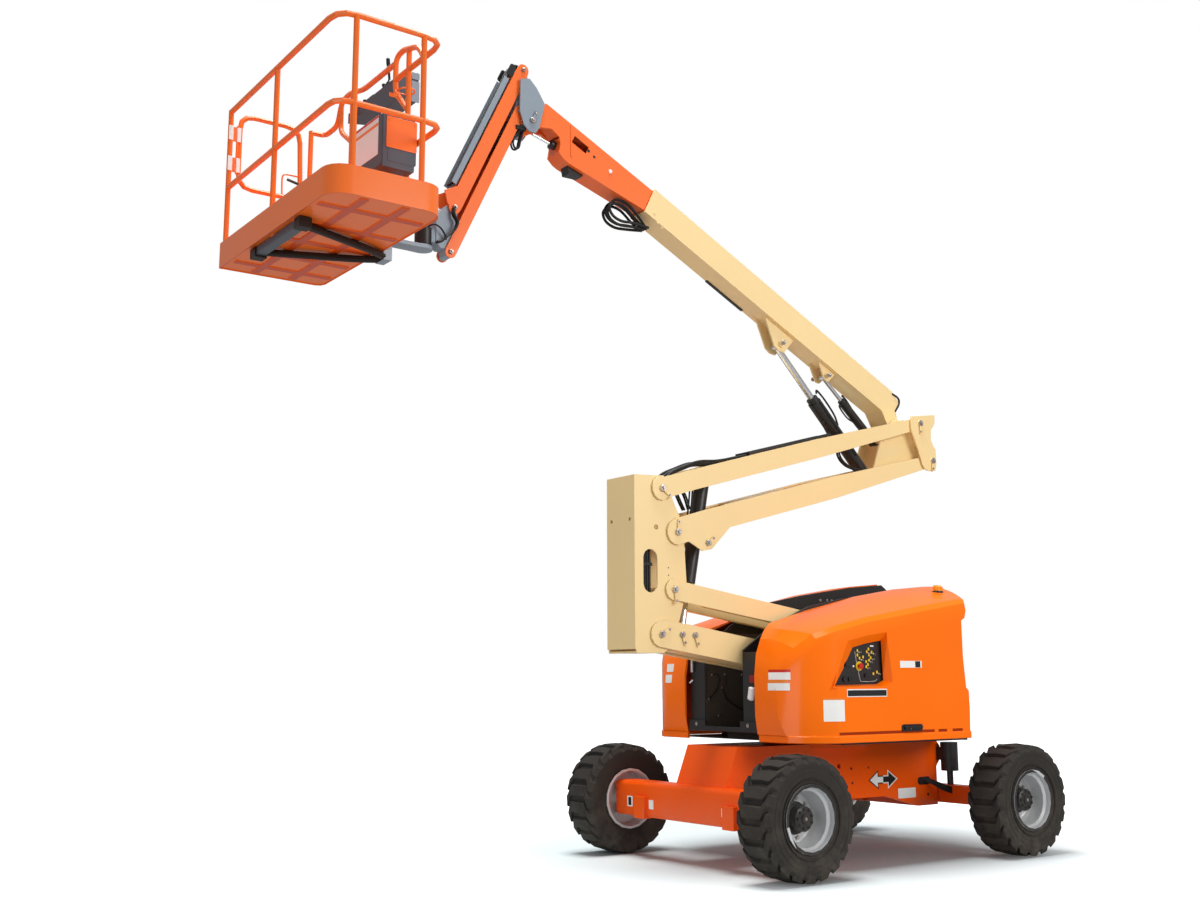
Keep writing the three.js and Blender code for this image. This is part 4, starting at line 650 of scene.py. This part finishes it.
fitted("ground_stop_disc", [turned([(0.034, -0.001), (0.034, 0.003)], stop, NEAR, 28)], key_yellow, "turntable")
fitted("ground_stop_button", [turned([(0.013, 0.0), (0.013, 0.014), (0.022, 0.018), (0.023, 0.024), (0.016, 0.029)],
    stop, NEAR, 24)], signal_red, "turntable")
fitted("ground_gauges", [turned([(r, 0.0), (r, 0.01), (r * 0.9, 0.012), (r * 0.85, 0.009)], (x, panel_y, z), NEAR,
    24) for x, z, r in ((0.995, 1.345, 0.02), (1.045, 1.345, 0.014), (1.215, 1.372, 0.016))]
    + [plate(0.062, 0.048, 0.004, (1.032, panel_y + 0.0002, 1.46), 0.012)], black_paint, "turntable", edge=0.0015)
fitted("ground_line", [hose([(1.11, panel_y, 1.545), (1.118, panel_y, 1.5), (1.15, panel_y, 1.365),
    (1.16, panel_y, 1.335), (1.18, panel_y, 1.327), (1.3, panel_y, 1.329), (1.335, panel_y, 1.345)], 0.0014, 6)]
    + [plate(0.036, 0.01, 0.002, (1.29, panel_y + 0.0002, 1.585), 0.001),
        turned([(0.008, -0.001), (0.008, 0.004), (0.005, 0.006)], (1.089, panel_y, 1.437), NEAR, 14)], plate_white,
    "turntable")

# ------------------------------------------------------------------ tower
# Four arms of bent and welded plate in cream enamel, with a deep upright between them. Each pin
# turns in a welded boss, and a keeper bar with its own bolt stops it from turning.
cream_paint = enamel("cream_paint", (0.87, 0.655, 0.325), 0.32, 0.15, Dust=0.0, Drift=0.02)
for part in ("lower_arm_main", "lower_arm_link", "tower_upright", "upper_arm_main", "upper_arm_link",
        "boom_knuckle", "base_boom"):
    eased(part, cream_paint, 0.003)
for part in ("tower_cylinder_barrel", "lift_cylinder_barrel", "level_cylinder_barrel", "jib_cylinder_barrel"):
    eased(part, black_paint, 0.002)
for part in ("tower_cylinder_rod", "lift_cylinder_rod", "level_cylinder_rod", "jib_cylinder_rod"):
    eased(part, rod_chrome, 0.001)


def pin_ends(name, rows, body, paint):
    """Each pin's visible ends on both sides: a chamfered steel end with a hexagon head, and a keeper
    bar from it to a small bolt."""
    ends, keepers = [], []
    for x, z, face, dx, dz, radius in rows:
        for sign in (-1, 1):
            way = (0.0, float(sign), 0.0)
            seat = (x, sign * face, z)
            ends.append(turned([(radius, -0.004), (radius, 0.006), (radius - 0.003, 0.009)], seat, way, 24))
            ends += bolts([(x, sign * (face + 0.008), z)], way, radius * 0.55, 0.012)
            reach = math.hypot(dx, dz)
            if not reach:
                continue
            u = np.array((dx, 0.0, dz)) / reach
            v = np.cross(u, (0.0, float(sign), 0.0))
            outline = round_box(reach + 0.03, 0.024, 0.0118) + np.array((reach / 2 + 0.012, 0.0))
            keepers.append(slab(outline, (x, sign * (face - 0.001), z), u, -v, 0.006))
            ends += bolts([(x + dx * 1.05, sign * (face + 0.005), z + dz * 1.05)], way, 0.008, 0.008)
    fitted(name + "_ends", ends, bright_zinc, body)
    if keepers:
        fitted(name + "_keepers", keepers, paint, body)


pin_ends("upright_pins", [
    # x, z, how far out the pin's face lies, the keeper bolt's offset, the end's radius
    (-0.1245, 2.73, 0.199, 0.058, -0.046, 0.026), (0.0165, 2.415, 0.199, 0.006, 0.072, 0.026),
    (-0.0185, 1.992, 0.199, 0.007, -0.078, 0.026), (-0.1435, 1.668, 0.199, 0.06, 0.034, 0.026)],
    "upright", cream_paint)
pin_ends("upper_arm_pins", [(0.303, 2.352, 0.199, 0.043, 0.034, 0.023)], "upper_arm", cream_paint)
pin_ends("lower_arm_pins", [(0.043, 1.668, 0.199, 0.02, -0.056, 0.022), (0.164, 1.664, 0.199, 0.02, -0.058, 0.022)],
    "lower_arm", cream_paint)
pin_ends("knuckle_pins", [(2.688, 3.515, 0.22, -0.004, -0.07, 0.026), (2.829, 3.2, 0.22, -0.01, -0.066, 0.026)],
    "knuckle", cream_paint)
# Painted shade: black discs in the upright's holes stand for the dark inside them.
fitted("upright_hole_painted_shade", [turned([(0.005, -0.0015), (0.005, 0.0006)], (-0.062, -0.1702, z), NEAR, 12)
    for z in (2.15, 2.095)], plate_black, "upright")
fitted("upright_slot_hoses", [hose([(-0.3 + 0.022 * n, -0.135, z) for z in (1.8, 2.0, 2.2, 2.4, 2.6)], 0.0105)
    for n in range(5)] + [block((-0.315, -0.152, z), (-0.197, -0.12, z + 0.022)) for z in (1.9, 2.16, 2.42)],
    hose_rubber, "upright")
fitted("link_cable_tray", [  # its far half is open between two rails, where the lift cylinder swings through
    slab([(0.0, 0.0), (0.515, 0.1389), (0.508, 0.1649), (-0.007, 0.026)], (0.835, 0.085, 3.082), EAST, UP,
        0.17),
    ] + [slab([(0.51, 0.1376), (0.905, 0.244), (0.898, 0.27), (0.503, 0.1636)], (0.835, y, 3.082), EAST, UP, 0.014)
        for y in (0.085, -0.071)], black_paint, "upper_link", edge=0.003)
fitted("link_hoses", [hose([(-0.02, y * 0.7, 2.74), (0.04, y, 2.862 - drop), (0.184, y, 2.932 - drop),
    (0.33, y, 2.985 - drop), (0.5, y, 3.006 - drop), (0.66, y * 0.8, 3.04), (0.86, y * 0.7, 3.092)], 0.011)
    for y, drop in ((-0.062, 0.0), (-0.034, 0.016), (-0.006, 0.004), (0.026, 0.02), (0.056, 0.0))], hose_rubber,
    "upper_link")
fitted("tower_cylinder_hoses", [hose([(0.175, y, 2.6), (0.13, y - 0.01, 2.66), (0.112, y, 2.722), (0.165, y, 2.735),
    (0.205, y + 0.01, 2.69), (0.225, y, 2.61)], 0.008) for y in (-0.075, -0.05)]
    + [hose([(x, -0.07, 2.56), (x + 0.014, -0.072, 2.66), (x + 0.026, -0.072, 2.77)], 0.007)
        for x in (0.205, 0.232)], hose_rubber, "tower_barrel")

# ------------------------------------------------------------------ boom
# A cream box section, welded along its corners, with the orange fly section sliding in it. The
# lift and the levelling cylinder push between it and the knuckle; their hoses are clipped to them.
fly_orange = enamel("fly_orange", (0.9, 0.16, 0.026), 0.34, 0.2, Dust=0.0, Drift=0.03)
eased("fly_boom", fly_orange, 0.0025)
pin_ends("boom_pins", [(1.217, 4.043, 0.096, 0.0, 0.0, 0.02), (1.729, 3.837, 0.096, 0.0, 0.0, 0.018)], "base_boom",
    cream_paint)


def barrel_trim(node, body, loops):
    """Hoses that loop off a cylinder's barrel. A point is a share of the way from the barrel's foot to
    its gland, and two offsets."""
    low, high = (np.array(end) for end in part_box(node))
    foot = np.array((high[0], 0.0, low[2]))
    gland = np.array((low[0], 0.0, high[2]))
    axis = (gland - foot) / np.linalg.norm(gland - foot)
    over = np.array((-axis[2], 0.0, axis[0])) * (1 if axis[0] < 0 else -1)
    spot = lambda share, out, y: foot + (gland - foot) * share + over * out + off(y)
    pieces = [hose([spot(*point) for point in loop], radius) for radius, loop in loops]
    fitted(node + "_hoses", pieces, hose_rubber, body)


barrel_trim("lift_cylinder_barrel", "lift_barrel", [(0.008, [(0.95, -0.055, -0.02), (0.97, -0.075, -0.025),
    (0.86, -0.084, -0.03), (0.7, -0.078, -0.03), (0.6, -0.056, -0.02)]),
    (0.007, [(0.9, -0.058, 0.02), (0.84, -0.08, 0.02), (0.72, -0.086, 0.02), (0.62, -0.06, 0.02)]),
    (0.008, [(0.74, 0.05, -0.03), (0.72, 0.09, -0.035), (0.6, 0.105, -0.035), (0.5, 0.07, -0.03)]),
    (0.009, [(0.9, 0.0, -0.06), (0.6, 0.005, -0.06), (0.3, 0.0, -0.06)])])
barrel_trim("level_cylinder_barrel", "level_barrel", [(0.007, [(0.95, -0.032, 0.0), (0.97, -0.043, 0.0),
    (0.84, -0.045, 0.0), (0.7, -0.035, 0.0)]), (0.007, [(0.92, 0.03, 0.0), (0.9, 0.06, 0.0), (0.7, 0.066, 0.0),
        (0.55, 0.035, 0.0)])])
fitted("knuckle_hoses", [hose([(1.795, y, 3.33), (1.79, y, 3.23), (1.812, y, 3.15), (1.88, y, 3.095),
    (1.975, y, 3.07), (2.1, y, 3.06)], 0.009) for y in (-0.085, -0.11)], hose_rubber, "upper_link")
fitted("boom_tail_hose", [hose([(2.48, -0.096, 3.77), (2.55, -0.098, 3.74), (2.56, -0.098, 3.69),
    (2.51, -0.096, 3.617)], 0.009)], hose_rubber, "base_boom")
fitted("boom_underside_strip", [slab([(0.557, 4.487), (0.93, 4.3018), (0.93, 4.3148), (0.557, 4.5)], (0, 0.0955, 0),
    EAST, UP, 0.026)], plate_black, "base_boom")
fitted("boom_tip_bolts", bolts([(-0.071, -0.0975, 4.8), (-0.1, -0.0975, 4.87), (-0.03, -0.0975, 4.77)], NEAR, 0.006,
    0.004), cream_paint, "base_boom")
fitted("boom_tip_hoses", [hose([(-0.16, y, 4.775), (-0.23, y, 4.845 + d), (-0.33, y, 4.915 + d),
    (-0.43, y, 4.925 + d), (-0.487, y, 4.865 + d), (-0.462, y, 4.8 + d), (-0.38, y, 4.768 + d),
    (-0.26, y, 4.775 + d), (-0.12, y, 4.765)], 0.011) for y, d in ((-0.045, 0.0), (-0.018, -0.022), (0.012, -0.008),
        (0.04, -0.028))], hose_rubber, "base_boom")
fly_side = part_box("fly_boom")[0][1]
near = fly_side - 0.0004
# Painted shade: black discs on the fly's holes stand for the dark inside them.
fitted("fly_hole_painted_shade", [plate(size, size, size / 2 - 1e-4, (x, near, z), 0.0008)
    for x, z, size in ((-0.705, 5.238, 0.024), (-0.653, 5.203, 0.022))], plate_black, "fly_boom")
fitted("fly_plug", [turned([(0.016, -0.001), (0.016, 0.004), (0.011, 0.007)], (-0.505, fly_side, 5.121), NEAR, 20)],
    plate_white, "fly_boom")
fitted("fly_seam", [slab([(-0.868, 5.405), (-0.868, 5.165), (-0.856, 5.155), (-0.856, 5.398)][::-1],
    (0, fly_side + 0.001, 0), EAST, UP, 0.006)], fly_orange, "fly_boom")
fitted("fly_foot_block", [slab([(-0.86, 5.037), (-0.735, 5.04), (-0.719, 5.095), (-0.878, 5.125)], (0, 0.045, 0),
    EAST, UP, 0.09)], plate_black, "fly_boom", edge=0.003)
fitted("slave_cylinder_barrel", [turned([(0.02, 0.0), (0.036, 0.004), (0.036, 0.02), (0.031, 0.022), (0.031, 0.24)],
    (-1.0, 0.0, 5.252), (0.158, 0.0, -0.04), 24)], black_paint, "fly_boom")
fitted("slave_cylinder_rod", [turned([(0.011, 0.0), (0.011, 0.16)], (-1.15, 0.0, 5.29), (0.158, 0.0, -0.04), 16)],
    rod_chrome, "fly_boom")

# ------------------------------------------------------------------ jib
# Grey castings at both ends hold two pressed orange channels in parallel, one with the jib
# cylinder. A grey tray along the outer one carries the hoses to the platform.
for part in ("jib_beam", "jib_link"):
    eased(part, fly_orange, 0.0025)
grey_paint = enamel("grey_paint", (0.25, 0.3, 0.355), 0.34, 0.3, Dust=0.0)
slate_paint = enamel("slate_paint", (0.07, 0.08, 0.1), 0.45, 0.2, Dust=0.0)
for part in ("jib_support", "jib_head"):
    eased(part, grey_paint, 0.002)
jib_top, jib_reach = np.array((-1.2745, 0.0, 5.73)), np.array((-0.55, 0.0, -1.1635))
run = jib_reach / np.linalg.norm(jib_reach)
outer = np.array((run[2], 0.0, -run[0]))
tray_at = jib_top + run * 0.135 + outer * 0.056 + off(-0.058)
fitted("jib_hose_tray", [slab([(0.0, 0.0), (0.99, 0.0), (0.99, high), (0.0, high)], tray_at + off(y), run, outer,
    thick) for high, y, thick in ((0.008, 0.0, 0.116), (0.046, 0.0, 0.004), (0.046, 0.112, 0.004))], grey_paint,
    "jib_beam", edge=0.0015)
fitted("jib_tray_hoses", [hose([tray_at + run * s + outer * (0.022 + 0.004 * (s > 0.9)) + off(y)
    for s in (-0.06, 0.05, 0.25, 0.5, 0.75, 0.98)], 0.01) for y in (0.02, 0.044, 0.068, 0.092)], hose_rubber,
    "jib_beam")
over_pin = [(0.0755, math.radians(-12.0)), (0.066, math.radians(-1.0)), (0.052, math.radians(9.0)),
    (0.034, math.radians(26.0))]
fitted("jib_top_hoses", [hose([tray_at + run * -0.05 + outer * 0.022 + off(y + 0.058),
    jib_top + run * 0.045 + outer * 0.0775 + off(y)]
    + [jib_top + outer * reach * math.cos(turn) - run * reach * math.sin(turn) + off(y)
        for reach, turn in over_pin], 0.0105) for y in (-0.038, -0.014, 0.01, 0.034)], hose_rubber, "jib_beam")
fitted("jib_tray_bracket",
    [slab(round_box(0.1, 0.05, 0.016), jib_top + run * 0.062 + outer * 0.078 + off(0.064 * sign + 0.004), run,
        outer, 0.008) for sign in (-1, 1)], plate_black, "jib_beam")
for name, body, dx, dz in (("jib_top_pins", "jib_support", 0.0, 0.0),
        ("jib_head_pins", "jib_head", *jib_reach[[0, 2]])):
    pin_ends(name, [(x + dx, z + dz, 0.076, 0.0, 0.0, 0.016) for x, z in ((-1.2745, 5.73), (-1.2995, 5.405))], body,
        grey_paint)
pin_ends("support_pin", [(-1.2135, 5.345, 0.107, 0.026, 0.052, 0.021)], "jib_support", grey_paint)
# Painted shade: a thin black plate stands for the dark of the gap in the support's near side.
fitted("support_gap_painted_shade", [slab([(0.0, 0.0), (0.009, -0.003), (-0.096, -0.285), (-0.105, -0.282)][::-1],
    (-1.196, -0.0935, 5.597), EAST, UP, 0.004)], plate_black, "jib_support")
fitted("support_hoses", [hose([(-1.275, y, 5.285), (-1.315, y, 5.24), (-1.352, y, 5.165), (-1.338, y, 5.12),
    (-1.305, y, 5.13), (-1.29, y, 5.19), (-1.27, y, 5.26)], 0.0075) for y in (-0.06, -0.03)]
    + [block((-1.335, -0.078, 5.262), (-1.255, 0.078, 5.292))], hose_rubber, "jib_support")
fitted("head_hoses", [hose([(-1.835, y, 4.56), (-1.842, y - 0.012, 4.505), (-1.815, y - 0.016, 4.455),
    (-1.838, y - 0.014, 4.395), (-1.885, y - 0.012, 4.345), (-1.93, y - 0.006, 4.3), (-1.965, y, 4.29)], 0.008)
    for y in (-0.062, -0.084)] + [hose([(-2.028, -0.062, 4.392), (-1.99, -0.09, 4.405), (-1.94, -0.086, 4.388),
        (-1.905, -0.08, 4.35), (-1.89, -0.07, 4.32)], 0.0065)], hose_rubber, "jib_head")
fitted("rotator_motor", [turned([(0.058, 0.0), (0.06, 0.004), (0.06, 0.12), (0.055, 0.126)],
    (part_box("jib_head")[0][0] + 0.058, 0.0, 4.27), UP, 32)], black_paint, "jib_head")

# ------------------------------------------------------------------ platform
# A pressed orange deck with welded tube rails and a swing gate. The grey console, the manual's box
# and the support frame are bolted on; the hinge plates are white, and every sign is blank.
deck_orange = enamel("deck_orange", (0.94, 0.175, 0.022), 0.3, 0.25, Dust=0.0, Drift=0.03)
for part in ("platform_rails", "platform_gate"):
    eased(part, deck_orange, 0.0, joined=False)
deck = eased("platform_floor", deck_orange, 0.0, joined=False)
# Painted shade: the ribs under the deck take a darker orange than its panels, which catch light from the floor.
deck.data.materials.append(enamel("rib_painted_shade", (0.62, 0.06, 0.002), 0.32, 0.2, Dust=0.0, Drift=0.05))
rib_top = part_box("platform_floor")[0][2] + 0.002
deck.data.polygons.foreach_set("material_index", np.array([face.center.z < rib_top for face in deck.data.polygons],
    np.int32))
eased("control_console", slate_paint, 0.012, 3)
eased("manual_box", slate_paint, 0.025, 4)
tube_painted_shade = enamel("tube_painted_shade", (0.022, 0.014, 0.011), 0.42, 0.0, specular=0.2, Dust=0.0)
support = eased("platform_support_frame", grey_paint, 0.003)
for metal in (tube_painted_shade, slate_paint):
    support.data.materials.append(metal)
# The frame's head is grey and the plate at its front is slate; its tubes, of the same grey paint, are coloured dark
# brown-black as painted shade.
grey_from, plate_from, plate_half = -2.34, -3.016, 0.31
support.data.polygons.foreach_set("material_index", np.array([
    0 if face.center.x > grey_from else 2 if face.center.x < plate_from and abs(face.center.y) < plate_half else 1
    for face in support.data.polygons], np.int32))
post_y, leaf_z = 0.8605, (5.1275, 4.9025)
for name, x, y, wide, body in (("gate_hinge_plates", -3.0965, post_y, 0.032, "platform"),
        ("gate_leaf_plates", -3.034, post_y + 0.0147, 0.028, "gate")):
    fitted(name, [plate(wide, 0.105, 0.004, (x, y, z), 0.0025) for z in leaf_z], plate_white, body)
fitted("gate_latch_loop", [hose([(-2.6965, 0.8955, 4.76), (-2.699, 0.8955, 4.88), (-2.69, 0.8955, 4.915),
    (-2.66, 0.8955, 4.925), (-2.6, 0.8955, 4.926), (-2.566, 0.8955, 4.926)], 0.006, 10)], deck_orange, "gate")
fitted("gate_latch_handle", [hose([(-2.667, 0.88, 4.883), (-2.585, 0.88, 4.8665)], 0.01, 12)], plate_black, "gate")
box_x, side_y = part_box("manual_box")[0][:2]
manual_y = -0.4086
fitted("manual_panel_frame", [plate(0.4, 0.345, 0.02, (box_x + 0.001, manual_y, 4.685), 0.008, NEAR)], slate_paint,
    "platform", edge=0.002)
fitted("manual_panel_plate", [plate(0.324, 0.26, 0.004, (box_x - 0.0065, manual_y, 4.722), 0.0022, NEAR)],
    plate_white, "platform")
for label, middle, high, tint in (("orange", 4.793, 0.02, band_orange), ("red", 4.843, 0.014, signal_red)):
    fitted("manual_panel_band_" + label, [plate(0.322, high, 0.0015, (box_x - 0.0082, manual_y, middle), 0.0012,
        NEAR)], tint, "platform")
fitted("side_panel", [plate(0.212, 0.205, 0.008, (-2.516, side_y + 0.001, 4.7395), 0.005)], deck_orange, "platform",
    edge=0.0015)
fitted("side_panel_studs", [turned([(0.006, -0.001), (0.006, 0.003), (0.004, 0.004)], (x, side_y - 0.004, z), NEAR,
    12) for x in (-2.602, -2.423) for z in (4.66, 4.82)], deck_orange, "platform")
fitted("side_panel_pad", [plate(0.192, 0.074, 0.01, (-2.516, side_y + 0.001, 4.585), 0.003)], slate_paint,
    "platform", edge=0.001)
fitted("console_end_plates", [plate(0.0585, high, 0.004, (-2.2328, -0.2345, z), 0.003)
    for z, high in ((5.244, 0.148), (5.355, 0.046))], grey_paint, "platform")
fitted("platform_joysticks", [piece for x, y, foot_z, high in (
    # place of each lever, where it leaves the console, its height
    (-2.335, -0.055, 5.335, 0.185), (-2.3, 0.1, 5.352, 0.055), (-2.3, 0.4, 5.352, 0.05))
    for piece in (
        turned([(0.03, -0.004), (0.026, 0.012), (0.013, 0.026), (0.01, 0.036)], (x, y, foot_z), (-0.1, 0, 1),
            16),
        turned([(0.008, 0.02), (0.009, high * 0.6), (0.014, high * 0.8), (0.013, high), (0.006, high + 0.006)],
            (x, y, foot_z), (-0.1, 0, 1), 16))], plate_black, "platform")
fitted("console_cables", [hose([(-2.28, 0.1 + d, 5.165), (-2.3, 0.05 + d, 5.0), (-2.33, -0.05 + d, 4.8),
    (-2.35, -0.1 + d, 4.5), (-2.36, -0.1 + d, 4.22)], 0.009) for d in (-0.026, 0.0, 0.026)], hose_rubber,
    "platform")
ring_of_rod = [(0.055 + 0.0065 * math.cos(a), 0.0065 * math.sin(a)) for a in np.linspace(0, 2 * math.pi, 9)[:-1]]
fitted("console_ring", [turned(ring_of_rod, (-2.325, -0.285, 5.205), UP, 28, ring=True),
    plate(0.066, 0.028, 0.004, (-2.424, -0.298, 5.1455), 0.004)], deck_orange, "platform")
